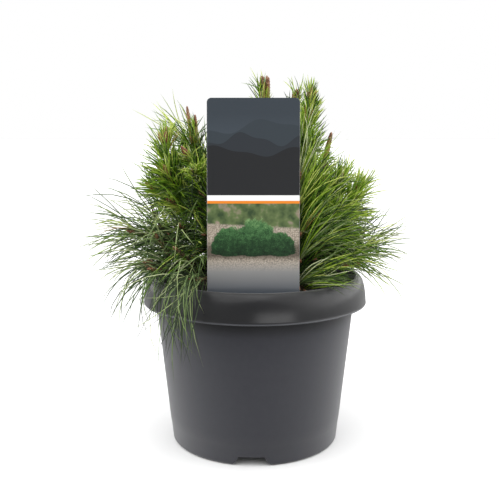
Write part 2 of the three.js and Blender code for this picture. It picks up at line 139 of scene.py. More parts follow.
CRUMB = {
    "count": 2600,
    "size": [0.5, 2.4],
    "bias": 2.2,  # more makes the small ones commoner
    "margin": 4,  # left free along the pot's wall
    "jags": [0.55, 1.25],
    "width": [0.5, 1],  # as a share of the length
    "height": [0.35, 0.8],
    "lift": 0.2,
    "tints": [0.62, 0.27, 0.11],  # shares of the finishes
}

LABEL = {
    "thickness": 0.9,
    "corner": 4,
    "corner_steps": 8,
    "lean": 5,  # degrees
    "y": -89,  # of the card's middle plane at the height of the rim
    "shoulder": 166,  # height of the card's lower corners
    "foot": 138,  # and of the stake's point
    "stake_width": 40,
    "stake_slope": 6,
    "stake_point": 9,
    "stake_end": 0.55,
    "bevel": 0.2,
    "bevel_half": 42,  # half the width at which the bevel has its full size
}

TRUNK = {
    "lean": [5, 3],
    "foot_radius": 7.6,
    "top_radius": 3.6,
    "flare": 5.5,
    "flare_height": 16,
    "sides": 56,
    "rings": 90,
    "relief": 0.9,
    "plate": 5.5,  # size of the bark's plates
}

BOUGH = {
    "foot_radius": 2.9,
    "tip_radius": 2.1,
    "first_height": 14,
    "last_height": 71,
    "knee_rise": 0.3,
    "sides": 14,
    "rings": 64,
    "relief": 0.5,
    "plate": 2.6,
    "overlap": 0.02,  # how far it goes on into the twig, as a share of the limb
}

BARK = {
    "stretch": 0.6,  # less makes the plates taller for their width
    "furrow": 2.4,  # more makes the furrows narrower
    "level": 0.6,  # share of the relief that lies inward
    "fine": 3.1,  # how much finer the grain on the plates is
    "fine_share": 0.35,
}

SHOOT = {
    "tip_radius": 1.2,
    "side_radius": 1.5,
    "sides": 7,
    "rings": 26,
    "scale_relief": 0.14,
    "first": 0.72,  # where the side shoots start, as a share of the limb's bare length
    "last": 0.5,  # and where they end, as a share of its stem
    "lean": [30, 46],  # degrees between a side shoot and its limb
    "upturn": 0.3,
    "reach": [0.66, 0.4],  # length of the lowest and the highest, as a share of the stem's
    "reach_spread": 0.18,
    "knee": 0.55,
    "bare": 0.12,  # share of a side shoot that has no needles
    "tested": [0.4, 0.7, 1],  # where along it a side shoot has to have room
    "room_below": 2,  # how far under those places it is tested
    "extra_bare": 0.3,  # as bare, for the added ones
    "extra_dip": 4,  # how far an added one hangs below its straight line
}

NEEDLE = {
    "spacing": 1.15,  # along the shoot from one pair of needles to the next
    "turn_spread": 0.6,
    "fork": 0.2,  # half the angle between a pair's needles, in radians
    "least_sine": 0.35,  # keeps the fork small on needles that lie close to the shoot
    "foot_tilt": 62,
    "tip_tilt": 24,
    "tilt_spread": 0.22,
    "incurve": 0.12,
    "sag": 0.16,
    "sag_spread": [0.5, 1.5],
    "curl": 0.4,  # how much a needle bows sideways, as a share of its sway
    "lengths": [0.72, 1.16],
    "pair_lengths": [0.9, 1.04],
    "shed": 0.35,  # share of the needles lost at a shoot's foot
    "girth": [0.8, 1, 1, 0.95, 0.75, 0],  # along a needle, for a thickness of one
    "sides": 3,
    # Needles are darker at a shoot's foot, deep in the crown, and lighter at its tip: partly the fresher
    # young needles at the tip, partly painted shade.
    "lighter": 1.8,  # shades that the needles at a shoot's tip are lighter than at its foot
    "even": 0.6,  # where along the shoot they have their limb's own tone
    "shoot_spread": 0.3,
    "shade_spread": 1.35,
    "dry": 0.003,  # share of dry needles at a shoot's tip, and twice that at its foot
}

BRACT = {
    "length": 5,
    "lengths": [0.6, 1.2],
    "girth": [0.7, 1, 0],
    "radius": 0.75,
    "places": [0, 0.4, 1],  # of its rings along it
    "sides": 3,
    "spacing": 1.6,
    "tilt": 24,
    "stand": 0.7,  # how far out its root is, as a share of the shoot's radius
    "tints": [0.3, 0.3, 0.4],  # shares of the finishes
}

BUD = {
    "length": 11,
    "radius": 2.3,
    "sides": 9,
    "rings": 11,
    "relief": 0.1,
    "fullness": 0.6,
    "hint": [0.31, 0.93, 0.2],  # the side from which its scales are counted round
    "swell": [0.18, 0.82],  # where on a sine's hump a bud starts, and how much it covers
    "tints": [0.5, 0.38, 0.12],  # shares of the finishes
    "green_spread": 0.15,
    "around": 4,  # smaller buds round the one at a limb's tip
    "around_share": 0.62,
    "around_lengths": [0.8, 1.3],
    "around_splay": 0.4,
    "side_share": 0.7,  # size of the bud on a side shoot
}

CANDLE = {
    "length": 23,
    "stalk": 15,
    "radius": 2.1,
    "rings": 24,
    "apart": 1.1,
    "splay": 0.04,
    "fullness": 0.35,
    "green": 0.78,
}

CLEAR = 0.9  # free distance kept round a needle
OVERHANG = 11  # how far needles may stand out past the solids
REACH_LOW = np.array(CAD_BOX[0]) / MM - OVERHANG
REACH_HIGH = np.array(CAD_BOX[1]) / MM + OVERHANG
GOLDEN_ANGLE = math.pi * (3 - math.sqrt(5))
UP = np.array([0.0, 0.0, 1.0])
OFF_AXIS = 0.01  # keeps a hint from lying along a needle


@dataclass
class Limb:
    """One limb, in the same terms as the solids, and what grows on it.

    turn, in degrees from +X, reach and top give the place of its tip. bend is how far out its
    curve has its knee, and bare the share of it that has no needles. needle is their length,
    thick their thickness and tone how light they are, from 0 to 4. sides and spread are the
    number of its side shoots and how far they reach. end is where its stem ends, taper the
    length of the needles there, opened how far they spread from the stem and sparse how widely
    they are spaced. They rise and turn to the right (aside) as they start, then droop, and sway
    is how unevenly. bud is the size of its buds, candles the number of those at its tip that
    have stretched, and stagger how much shorter each is than the one before. grey is the share
    of greyer needles, and extra are the tips of added side shoots, each with what differs from
    its limb.
    """

    name: str
    turn: float
    reach: float
    top: float
    bend: float
    bare: float
    needle: float
    tone: float
    sides: int = 4
    spread: float = 0.85
    end: float = 0.94
    taper: float = 0.7
    opened: float = 0.9
    sparse: float = 1.2
    rise: float = 0.1
    aside: float = 0
    droop: float = 0.15
    sway: float = 0.2
    thick: float = 0.56
    bud: float = 1
    candles: int = 0
    stagger: float = 0
    grey: float = 0.12
    extra: tuple = ()


def fanned(place, tone, rise, aside=1.1, **changes):
    """An added side shoot beside the label, whose needles fan out to the right."""
    return place, {"tone": tone, "rise": rise, "aside": aside, "sway": 0.14, **changes}


LIMBS = [
    Limb(
        "left_crown", 190, 91, 150, 1.02, 0.42, 45, 3.0, sides=6, spread=0.55, end=1.02, taper=0.55,
        opened=1.1, sparse=0.55, droop=0.05, sway=0.12, bud=1.6, extra=(((-101, -14, 104), {}),),
    ),
    Limb(
        "left_candle", 178, 63, 164, 0.9, 0.45, 52, 2.3, spread=0.5, end=1, taper=0.3, sparse=1.0,
        candles=2, stagger=0.24,
        extra=(
            ((-67, -22, 137), {"needle": 34, "tone": 3.0, "sparse": 0.6, "bud": 1.7}),
            ((-59, -45, 122), {"needle": 38, "tone": 3.4, "sparse": 0.4, "aside": 0.3, "rise": 0.4}),
        ),
    ),
    Limb(
        "left_high", 140, 30, 166, 0.9, 0.4, 42, 2.1, sides=3, spread=0.6, sparse=1.1,
        rise=0.25, extra=(((-71, 10, 151), {"needle": 60, "tone": 2.8, "taper": 1, "opened": 0.8}),),
    ),
    Limb(
        "leader", 60, 20, 199, 0.8, 0.36, 34, 2.4, sides=2, spread=0.4, end=0.98, opened=0.5, taper=0.9,
        sparse=0.6, aside=-0.25, bud=1.2, candles=4, stagger=0.02,
    ),
    Limb(
        "right_high", 338, 58, 190, 0.86, 0.38, 38, 2.7, spread=0.4, end=1.03, opened=0.8, taper=0.5,
        sparse=0.4, rise=0.15, droop=0, sway=0.1, bud=1.2,
        extra=(((57, -15, 186), {"sparse": 0.5, "taper": 0.4}),),
    ),
    Limb(
        "right_twin", 28, 48, 186, 0.86, 0.42, 36, 2.7, sides=3, spread=0.5, end=1.05, sparse=0.8,
        bud=1.2,
    ),
    Limb(
        "right_candle", 352, 72, 138, 0.8, 0.4, 48, 3.9, spread=0.6, end=1, taper=0.16, sparse=1.1,
        rise=0.2, bud=1.35, candles=1,
    ),
    Limb(
        "right_crown", 354, 105, 101, 0.84, 0.4, 46, 3.6, sides=5, spread=0.7, end=1.02, sparse=0.8,
        rise=0.3, extra=(((86, -20, 114), {"needle": 38, "tone": 3.2, "sparse": 0.5}),),
    ),
    Limb(
        "right_low", 4, 118, 40, 0.62, 0.36, 76, 3.0, end=0.98, taper=0.95, sparse=1.8, rise=0.3,
        droop=0.2, grey=0.55,
    ),
    Limb(
        "front_right", 316, 92, 54, 0.7, 0.38, 72, 2.4, sides=5, end=0.86, taper=0.85, rise=1.5,
        aside=0.6, droop=0.4, thick=0.5, grey=0.5,
        extra=(
            ((84, -62, 34), {"tone": 2.6}),
            fanned((41, -72, 64), 2.5, 2.2, droop=0.15),
            fanned((40, -70, 92), 2.7, 1.9, droop=0.1, grey=0.1),
            fanned((41, -66, 118), 3.0, 1.6, aside=1, droop=0, grey=0.1),
            fanned((41, -74, 40), 2.4, 2.1, droop=0.15),
            fanned((40, -76, 16), 2.3, 1.4, droop=0.1),
            fanned((46, -74, 12), 2.3, 0.6, aside=1.2, droop=0, sway=0.16),
        ),
    ),
    # The front_centre needles stand deep in the crown behind the label, and their low tone is painted
    # shade.
    Limb(
        "front_centre", 272, 50, 92, 0.85, 0.42, 48, 0.9, rise=0.3,
        extra=(
            ((-50, -46, 100), {}),
            ((-46, -58, 62), {}),
            ((-53, -40, 73), {}),
            ((-52, -50, 48), {}),
            ((50, -44, 104), {}),
            ((50, -56, 64), {}),
            ((8, -34, 118), {"tone": 1.9}),
            ((-24, -26, 112), {"tone": 1.7}),
            ((26, -8, 128), {"tone": 2.0}),
        ),
    ),
    Limb(
        "left_low", 206, 122, 36, 0.66, 0.38, 72, 1.6, end=0.9, taper=0.95, sparse=2.7, rise=0.25,
        droop=0.4, thick=0.58, grey=0.8,
        extra=(
            ((-72, -98, 55), {"needle": 24, "tone": 0.6, "opened": 1.2, "rise": 0.5, "grey": 0.12}),
            (
                (-96, -85, 34),
                {"tone": 0.9, "droop": 1.0, "sway": 0.3, "thick": 0.62, "rise": -0.1, "aside": -0.3},
            ),
        ),
    ),
    Limb(
        "left_middle", 184, 132, 62, 0.62, 0.38, 78, 2.0, spread=0.6, end=0.92, taper=0.95, sparse=1.85,
        rise=0.05, droop=0.35, thick=0.6, grey=0.8, extra=(((-72, -48, 70), {}), ((-60, -52, 42), {})),
    ),
    Limb(
        "front_left", 241, 108, 27, 0.5, 0.4, 82, 1.5, sides=3, spread=0.6, end=1.12, taper=1,
        sparse=0.62, rise=0, aside=-0.05, droop=2.1, sway=0.6, thick=0.42, bud=0.4, grey=1,
    ),
    Limb("back_left", 134, 96, 112, 0.86, 0.4, 50, 2.1),
    Limb("back", 92, 96, 90, 0.8, 0.4, 52, 2.1),
    Limb("back_right", 48, 98, 116, 0.86, 0.4, 50, 2.6, sparse=1.5),
    Limb("back_high", 105, 52, 158, 0.9, 0.4, 44, 2.3, sides=3, spread=0.6),
    Limb(
        "back_left_low", 154, 112, 44, 0.62, 0.36, 64, 1.9, end=0.86, taper=0.85, rise=0.2, droop=0.35,
        grey=0.88,
    ),
    Limb("back_right_low", 28, 114, 42, 0.62, 0.36, 64, 2.2, end=0.86, taper=0.85, rise=0.2, droop=0.35),
    Limb("back_low", 104, 112, 30, 0.6, 0.38, 64, 2.0, end=0.86, taper=0.85, rise=0.2, droop=0.45),
]

# The joined pieces of needles, each with the limbs whose needles it holds.
NEEDLE_PIECES = {
    "needles_of_the_left": [
        "left_crown", "left_candle", "left_high", "left_middle", "left_low", "front_left",
    ],
    "needles_of_the_right": [
        "right_high", "right_twin", "right_candle", "right_crown", "right_low", "front_right",
    ],
    "needles_of_the_middle": ["leader", "front_centre", "back_high", "back", "back_low"],
    "needles_of_the_back": ["back_left", "back_right", "back_left_low", "back_right_low"],
}


# ---------------------------------------------------------------- small maths


def mix(low, high, share):
    return low + (high - low) * share


def unit(vectors):
    return vectors / np.linalg.norm(vectors, axis=-1, keepdims=True)


def curve_points(foot, knee, tip, shares):
    """Points on quadratic curves: the ends are (n, 3), the shares (s,), and the result (n, s, 3)."""
    share = np.asarray(shares)[None, :, None]
    foot, knee, tip = (np.atleast_2d(end)[:, None] for end in (foot, knee, tip))
    return (1 - share) ** 2 * foot + 2 * (1 - share) * share * knee + share**2 * tip


def curve_tangents(foot, knee, tip, shares):
    share = np.asarray(shares)[None, :, None]
    foot, knee, tip = (np.atleast_2d(end)[:, None] for end in (foot, knee, tip))
    return unit((1 - share) * (knee - foot) + share * (tip - knee))


def cross_axes(tangents, hint):
    """Two unit vectors square to each tangent, the first as near to the hint as it can be."""
    along = (hint * tangents).sum(-1, keepdims=True)
    first = unit(hint - along * tangents)
    return first, np.cross(tangents, first)


def towards(first, second, angle):
    """The unit vectors at an angle from the first of two square ones towards the second."""
    return first * np.cos(angle)[..., None] + second * np.sin(angle)[..., None]


def linear(red, green, blue):
    """A colour given as 0 to 255 on a screen, for a shader."""
    channels = [channel / 255 for channel in (red, green, blue)]
    curve = [c / 12.92 if c <= 0.04045 else ((c + 0.055) / 1.055) ** 2.4 for c in channels]
    return (*curve, 1)


# ---------------------------------------------------------------- finishes


class Value:
    """A number that varies over a surface, for sums written in Python."""

    def __init__(self, shading, socket):
        self.shading = shading
        self.socket = socket

    def maths(self, operation, *others, swap=False):
        terms = [self, *others]
        if swap:
            terms.reverse()
        return self.shading.add("Math", {"operation": operation}, dict(enumerate(terms)))

    def __add__(self, other):
        return self.maths("ADD", other)

    def __sub__(self, other):
        return self.maths("SUBTRACT", other)

    def __mul__(self, other):
        return self.maths("MULTIPLY", other)

    def __truediv__(self, other):
        return self.maths("DIVIDE", other)

    def __pow__(self, other):
        return self.maths("POWER", other)

    def __rsub__(self, other):
        return self.maths("SUBTRACT", other, swap=True)

    __radd__ = __add__
    __rmul__ = __mul__

    def sine(self):
        return self.maths("SINE")

    def highest(self, other):
        return self.maths("MAXIMUM", other)

    def edge(self, softness):
        """0 below zero and 1 above it, with a ramp as wide as softness between them."""
        clamped = {"operation": "ADD", "use_clamp": True}
        return self.shading.add("Math", clamped, {0: self / softness, 1: 0.5})


class Shading:
    """The nodes of a material or of the sky. Colours are given as 0 to 255 on a screen."""

    def __init__(self, owner):
        owner.use_nodes = True
        self.nodes = owner.node_tree.nodes
        self.links = owner.node_tree.links

    def set(self, socket, source):
        if isinstance(source, Value):
            self.links.new(source.socket, socket)
        elif isinstance(source, tuple):
            socket.default_value = linear(*source)
        else:
            socket.default_value = source

    def add(self, kind, settings=None, inputs=None, output=0):
        """One node: its settings are set first, then the values or links of its sockets."""
        node = self.nodes.new("ShaderNode" + kind)
        for name, value in (settings or {}).items():
            if name == "stops":
                self._set_stops(node.color_ramp, value)
            else:
                setattr(node, name, value)
        for key, source in (inputs or {}).items():
            self.set(node.inputs[key], source)
        return Value(self, node.outputs[output])

    @staticmethod
    def _set_stops(ramp, stops):
        while len(ramp.elements) < len(stops):
            ramp.elements.new(1)
        for element, (place, *colour) in zip(ramp.elements, stops):
            element.position = place
            element.color = linear(*colour)

    def parts(self, vector):
        """A vector's X, Y and Z."""
        node = self.add("SeparateXYZ", None, {"Vector": vector}).socket.node
        return [Value(self, socket) for socket in node.outputs]

    def mixed(self, share, low, high):
        """A colour between two. A Mix node's colours are its sockets 6 and 7 and its output 2."""
        return self.add("Mix", {"data_type": "RGBA"}, {0: share, 6: low, 7: high}, output=2)

    def ramp(self, share, stops):
        """A colour from stops, each its place from 0 to 1 and its red, green and blue."""
        return self.add("ValToRGB", {"stops": stops}, {"Fac": share})

    def grain(self, where, size, detail=3.0, roughness=0.55):
        """Soft noise from 0 to 1, its lumps about size millimetres across."""
        inputs = {"Vector": where, "Scale": 1 / size, "Detail": detail, "Roughness": roughness}
        return self.add("TexNoise", None, inputs)

    def cells(self, where, size):
        """The distance from the middle of the nearest of many cells about that wide."""
        return self.add("TexVoronoi", {"feature": "F1"}, {"Vector": where, "Scale": 1 / size})

    def seen(self):
        """1 where the camera looks straight at it, and 0 for light that it sends on."""
        return self.add("LightPath", output="Is Camera Ray")


class Finish(Shading):
    """One material, with its Principled shader and the nodes that feed it."""

    def __init__(self, name, colour, **sockets):
        self.material = bpy.data.materials.new(name)
        super().__init__(self.material)
        self.material.diffuse_color = linear(*colour)
        self.feed("Base Color", colour)
        for socket, value in sockets.items():
            self.feed(socket.replace("_", " "), value)

    def feed(self, socket, source):
        self.set(self.nodes["Principled BSDF"].inputs[socket], source)

    def place(self):
        """Where a point of the surface is in the part's own frame, in millimetres."""
        metres = self.add("TexCoord", output="Object")
        return self.add("VectorMath", {"operation": "SCALE"}, {"Vector": metres, "Scale": 1 / MM})

    def bump(self, height, depth):
        """Relief of that depth in millimetres."""
        normal = self.add("Bump", None, {"Strength": 1.0, "Distance": depth * MM, "Height": height})
        self.feed("Normal", normal)


# The pot's plastic. Heights are over the lower edge of the rim's skirt, in millimetres.
PLASTIC = {
    "flat": (40, 41, 46),  # where the finish is shown as one colour
    "grey": (38, 39, 47),
    "dust": (62, 63, 69),
    "dust_from": 0.52,
    "dust_share": 0.12,
    # The near-black colour of the painted shade under the rim's skirt, which also covers the whole rim
    "painted_shade": (7, 7, 9),
    "shade_height": -9.5,  # where the shade under the rim is half as deep
    "shade_soft": 13,
    "shade_share": 0.92,
    # The pale colour of the painted highlight along the skirt's lower edge, then its height and share
    "painted_highlight": (96, 98, 104),
    "painted_highlight_height": 1.5,
    "painted_highlight_share": 0.5,
}


def pot_finish(name, roughness, shine, sheen, painted_highlight=False):
    """Moulded grey plastic: a fine even grain, faint flow marks and a little dust.

    It is painted darker from just under the rim's skirt upward, a painted shade that also darkens the
    whole rim, and the skirt's lower edge has a pale painted highlight.
    """
    gloss = {"IOR": 1.45, "Specular_IOR_Level": shine, "Sheen_Weight": sheen, "Sheen_Roughness": 0.6}
    finish = Finish(name, PLASTIC["flat"], **gloss)
    where = finish.place()
    height = finish.parts(where)[2] - POT_HEIGHT + POT["skirt_drop"]
    grain = finish.grain(where, 0.5, detail=2)
    cloud = finish.grain(where, 30, detail=3)
    dust = finish.grain(where, 7, detail=5, roughness=0.7)
    dusty = (dust - PLASTIC["dust_from"]).edge(1 / 3) * PLASTIC["dust_share"]
    colour = finish.mixed(dusty, PLASTIC["grey"], PLASTIC["dust"])
    # Painted shade: the colour turns near black from under the rim's skirt upward, over the whole rim
    # too.
    shade = (height - PLASTIC["shade_height"]).edge(PLASTIC["shade_soft"])
    colour = finish.mixed(shade * PLASTIC["shade_share"], colour, PLASTIC["painted_shade"])
    # A painted highlight: a pale line along the skirt's lower edge, on the rim's finish only.
    if painted_highlight:
        highlight_mask = (PLASTIC["painted_highlight_height"] - height).edge(1) * PLASTIC["painted_highlight_share"]
        colour = finish.mixed(highlight_mask, colour, PLASTIC["painted_highlight"])
    finish.feed("Base Color", colour)
    finish.feed("Roughness", cloud * 0.1 + grain * 0.06 + (roughness - 0.08))
    finish.bump(grain + cloud * 2, 0.03)
    return finish.material


def soil_finish():
    finish = Finish("peat", (30, 24, 20), Roughness=0.95)
    where = finish.place()
    fine = finish.grain(where, 1.1, detail=6, roughness=0.7)
    patch = finish.grain(where, 14, detail=3)
    browns = [(0.25, 12, 10, 8), (0.5, 28, 21, 17), (0.68, 52, 39, 29), (0.8, 88, 68, 50)]
    finish.feed("Base Color", finish.ramp(fine * 0.7 + patch * 0.35, browns))
    finish.bump(fine, 0.9)
    return finish.material


def bark_finish(name, size):
    """Scaly bark: grey-brown plates over a redder, darker ground."""
    finish = Finish(name, (96, 74, 58), Roughness=0.88)
    where = finish.place()
    fine = finish.grain(where, size / 4, detail=5, roughness=0.7)
    tone = finish.cells(where, size) * 0.55 + fine * 0.6
    browns = [(0.25, 138, 118, 98), (0.5, 104, 80, 62), (0.75, 66, 44, 33), (0.95, 38, 25, 19)]
    finish.feed("Base Color", finish.ramp(tone, browns))
    finish.bump(1 - tone, 0.35)
    return finish.material


def plain_finish(name, colour, roughness, shine=0.5):
    return Finish(name, colour, Roughness=roughness, Specular_IOR_Level=shine).material


# The print, in millimetres below the card's upper edge.
PRINT = {
    "dusk": [14, 44],  # where the sky turns from dark to light
    "sky": [(58, 65, 72), (68, 76, 84)],
    "ridges": [  # drop, height, pitch and start of each line of hills, and its colour
        (26, 6.0, 15, 0.6, (56, 63, 69)),
        (37, 5.0, 10, 2.4, (48, 52, 57)),
        (48, 4.0, 13, 4.2, (38, 39, 41)),
    ],
    "ripple": [0.43, 0.35],  # pitch and height of the hills' finer line, as shares
    "band": [88, 93],
    "rule": 95.5,  # lower edge of the line under it
    "horizon": 116,
    "mounds": [(-22, 17, 22), (24, 15, 17), (2, 21, 29)],  # middle across, half width and height
    "ground": 139,
    "fade": [146, 158],  # where the picture turns grey
    "foot": [154, 178],
}
BAND_WHITE = (242, 242, 240)
RULE_ORANGE = (232, 134, 40)
FOOT_GREYS = [(0, 138, 137, 135), (1, 72, 78, 86)]
CRISP = 0.35  # softness of an edge in the print

# The picture of the shrubs: sizes in millimetres, then the colours.
GARDEN = {
    "leaf": 1.1,
    "clump": 4.5,
    "pebble": 4 / 3,
    "hedge": 9,
    "lighter_over": 30,  # height over which the shrubs turn lighter
    "slope": 0.05,  # of the far edge of the gravel
    "horizon_soft": 2,
    "shade": [-5, 7],  # of the shrubs on the gravel, down from their foot
    "shade_waver": 4,
    "shade_soft": [9, 5],
    "shade_share": 0.8,
    "ragged": 0.7,  # how uneven the shrubs' outline is
    "foot": 2,
    "foot_soft": 3,
    "shrub_soft": 0.1,
}
SHADOW = (62, 54, 44)
PEBBLES = [(0.1, 214, 205, 192), (0.5, 166, 154, 138), (0.9, 92, 84, 76)]
HEDGE = [(0.3, 52, 70, 44), (0.55, 96, 112, 70), (0.7, 150, 134, 120)]
MOUND = [(0.2, 10, 24, 12), (0.42, 28, 58, 30), (0.6, 70, 112, 66), (0.8, 138, 172, 112)]


def print_finish():
    """The card's front: hills at dusk, a white band, and clipped shrubs on gravel."""
    finish = Finish("label_print", (50, 51, 53), Roughness=0.45, Specular_IOR_Level=0.2)
    where = finish.place()
    x, _, z = finish.parts(where)
    across = x - LABEL_MIDDLE
    down = LABEL_TOP - z

    def share_of(stretch):
        return (down - stretch[0]) / (stretch[1] - stretch[0])

    colour = finish.mixed(share_of(PRINT["dusk"]), *PRINT["sky"])
    finer, lower = PRINT["ripple"]
    for drop, height, pitch, start, shade in PRINT["ridges"]:
        ripple = (across / (pitch * finer) + start * 2).sine() * lower
        wave = (across / pitch + start).sine() + ripple
        colour = finish.mixed((down - drop + wave * height).edge(CRISP), colour, shade)
    top, bottom = PRINT["band"]
    picture = shrub_picture(finish, where, across, down)
    for start, paint in ((top, BAND_WHITE), (bottom, RULE_ORANGE), (PRINT["rule"], picture)):
        colour = finish.mixed((down - start).edge(CRISP), colour, paint)
    foot = finish.ramp(share_of(PRINT["foot"]), FOOT_GREYS)
    fade_top, fade_low = PRINT["fade"]
    fade = (down - (fade_top + fade_low) / 2).edge(fade_low - fade_top)
    finish.feed("Base Color", finish.mixed(fade, colour, foot))
    return finish.material


def shrub_picture(finish, where, across, down):
    """Three clipped green mounds on pale gravel, in front of a soft hedge."""
    leafy = finish.grain(where, GARDEN["leaf"], detail=6, roughness=0.8)
    clumps = finish.grain(where, GARDEN["clump"], detail=2)
    gravel = finish.ramp(finish.cells(where, GARDEN["pebble"]) * 0.6 + leafy * 0.5, PEBBLES)
    hedge = finish.ramp(finish.grain(where, GARDEN["hedge"], detail=2), HEDGE)
    ground = PRINT["ground"]
    light = (ground - down) / GARDEN["lighter_over"]
    mound = finish.ramp(leafy * 0.75 + clumps * 0.35 + light * 0.3 - 0.2, MOUND)
    horizon = down - PRINT["horizon"] - across * GARDEN["slope"]
    colour = finish.mixed(horizon.edge(GARDEN["horizon_soft"]), hedge, gravel)
    (start, end), (start_soft, end_soft) = GARDEN["shade"], GARDEN["shade_soft"]
    shade = (down - ground - start + clumps * GARDEN["shade_waver"]).edge(start_soft)
    shade = shade * GARDEN["shade_share"] * (ground + end - down).edge(end_soft)
    colour = finish.mixed(shade, colour, SHADOW)
    below = (down - ground - GARDEN["foot"]) / GARDEN["foot_soft"]
    for centre, half, height in PRINT["mounds"]:
        rise = (ground - down) / height
        span = (across - centre) / half
        inside = 1 - span * span - rise * rise + (leafy + clumps - 1) * GARDEN["ragged"]
        shrub = (inside - below.highest(0)).edge(GARDEN["shrub_soft"])
        colour = finish.mixed(shrub, colour, mound)
    return colour


# From the darkest to the lightest, for fresh needles and for the greyer ones lower down.
NEEDLE_COLOURS = {
    "needle_shade": (38, 62, 14),
    "needle_deep": (66, 100, 22),
    "needle_green": (102, 140, 32),
    "needle_fresh": (142, 174, 48),
    "needle_light": (190, 206, 98),
    "needle_grey_shade": (46, 62, 34),
    "needle_grey_deep": (76, 97, 52),
    "needle_grey_green": (110, 131, 76),
    "needle_grey_fresh": (148, 163, 108),
    "needle_grey_light": (190, 198, 152),
    "needle_dry": (150, 122, 68),
}
SHADES = 5
DRY = 2 * SHADES

TWIG_COLOURS = {"twig_brown": (72, 58, 34), "twig_olive": (88, 86, 40), "bract_pale": (124, 112, 66)}
BUD_COLOURS = {
    "bud_red": (138, 86, 58),
    "bud_brown": (100, 70, 44),
    "bud_pale": (182, 150, 116),
    "candle_olive": (138, 126, 58),
}
OLIVE = 3


# ---------------------------------------------------------------- meshes


class Gathered:
    """Points, triangles and finishes, gathered for one joined piece."""

    def __init__(self):
        self.points = []
        self.faces = []
        self.tints = []
        self.count = 0

    def add(self, points, faces, tints):
        self.points.append(points)
        self.faces.append(faces + self.count)
        self.tints.append(np.broadcast_to(tints, len(faces)))
        self.count += len(points)

    def grow(self, centres, radii, hints, sides, tints, pointed=True, relief=None):
        """Adds tubes that are given in heights above the soil, with a tint for each."""
        points, faces = tubes(centres, radii, hints, sides, pointed, relief)
        self.add(points + UP * SOIL_TOP, faces.reshape(-1, 3), np.repeat(tints, faces.shape[1]))

    def piece(self, name, materials, smooth=True):
        faces = np.concatenate(self.faces).astype(np.int32)
        points = np.concatenate(self.points) * MM
        mesh = bpy.data.meshes.new(name)
        mesh.vertices.add(len(points))
        mesh.vertices.foreach_set("co", points.astype(np.float32).ravel())
        mesh.loops.add(faces.size)
        mesh.loops.foreach_set("vertex_index", faces.ravel())
        mesh.polygons.add(len(faces))
        mesh.polygons.foreach_set("loop_start", np.arange(0, faces.size, 3, dtype=np.int32))
        for material in materials:
            mesh.materials.append(material)
        mesh.polygons.foreach_set("material_index", np.concatenate(self.tints).astype(np.int32))
        mesh.update(calc_edges=True)
        mesh.polygons.foreach_set("use_smooth", np.full(len(faces), smooth))
        return placed(name, mesh)


def linked(name, data):
    """A new object in the scene."""
    made = bpy.data.objects.new(name, data)
    bpy.context.collection.objects.link(made)
    return made


def placed(name, mesh):
    """A new piece of the plant or pot, which moves with its one body."""
    made = linked(name, mesh)
    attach(made, "root")
    return made


def spokes_round(centres, hints, sides):
    """Unit vectors square to the line through (n, s, 3) centre points, all round each point."""
    tangents = unit(np.gradient(centres, axis=1))
    first, second = cross_axes(tangents, hints[:, None])
    return towards(first[:, :, None], second[:, :, None], 2 * math.pi * np.arange(sides) / sides)


def tubes(centres, radii, hints, sides, pointed=True, relief=None):
    """Closed tubes round (n, s, 3) centre points, each ending in a point or a flat cap.

    relief is added to the radius at each ring and side. Gives the points and the triangles,
    with the triangles of each tube in a row of their own.
    """
    count, samples = centres.shape[:2]
    rings = samples - 1 if pointed else samples
    spokes = spokes_round(centres, hints, sides)
    reach = np.repeat(radii[:, :rings, None], sides, axis=2)
    if relief is not None:
        reach = reach + relief
    walls = centres[:, :rings, None] + reach[..., None] * spokes[:, :rings]
    points = np.concatenate([walls.reshape(count, -1, 3), centres[:, :1], centres[:, -1:]], axis=1)

    corner = np.arange(rings * sides).reshape(rings, sides)
    beside = np.roll(corner, -1, axis=1)
    low, low_next, high, high_next = corner[:-1], beside[:-1], corner[1:], beside[1:]
    foot, tip = rings * sides, rings * sides + 1
    one = [
        np.stack([low, low_next, high_next], axis=-1).reshape(-1, 3),
        np.stack([low, high_next, high], axis=-1).reshape(-1, 3),
        np.stack([np.full(sides, foot), beside[0], corner[0]], axis=-1),
        np.stack([corner[-1], beside[-1], np.full(sides, tip)], axis=-1),
    ]
    faces = np.concatenate(one)[None] + (points.shape[1] * np.arange(count))[:, None, None]
    return points.reshape(-1, 3), faces


def arc(centre, radius, start, end, steps):
    """Points on a round stretch of a profile, its angles in degrees."""
    angles = np.radians(np.linspace(start, end, steps + 1))
    return [(centre[0] + radius * math.cos(a), centre[1] + radius * math.sin(a)) for a in angles]


def new_point(work, x, y, z):
    return work.verts.new((x * MM, y * MM, z * MM))


def walls_between(work, near, far):
    """Faces between two loops with as many corners."""
    after = [*range(1, len(near)), 0]
    return [work.faces.new([near[k], far[k], far[n], near[n]]) for k, n in enumerate(after)]


def closed_mesh(name, work):
    """The mesh of a finished form, its faces turned outward."""
    bmesh.ops.recalc_face_normals(work, faces=work.faces)
    mesh = bpy.data.meshes.new(name)
    work.to_mesh(mesh)
    work.free()
    return mesh


def turned(name, profile, sides, material):
    """A closed piece turned about the Z axis, from a profile that starts and ends on it."""
    work = bmesh.new()
    rings = []
    for radius, height in profile:
        turns = [2 * math.pi * k / sides for k in range(sides if radius else 1)]
        around = [(radius * math.cos(turn), radius * math.sin(turn)) for turn in turns]
        rings.append([new_point(work, x, y, height) for x, y in around])
    for lower, upper in zip(rings, rings[1:]):
        for k in range(sides):
            corners = ((lower, k), (lower, k + 1), (upper, k + 1), (upper, k))
            work.faces.new(dict.fromkeys(ring[step % len(ring)] for ring, step in corners))
    mesh = closed_mesh(name, work)
    mesh.materials.append(material)
    return placed(name, mesh)


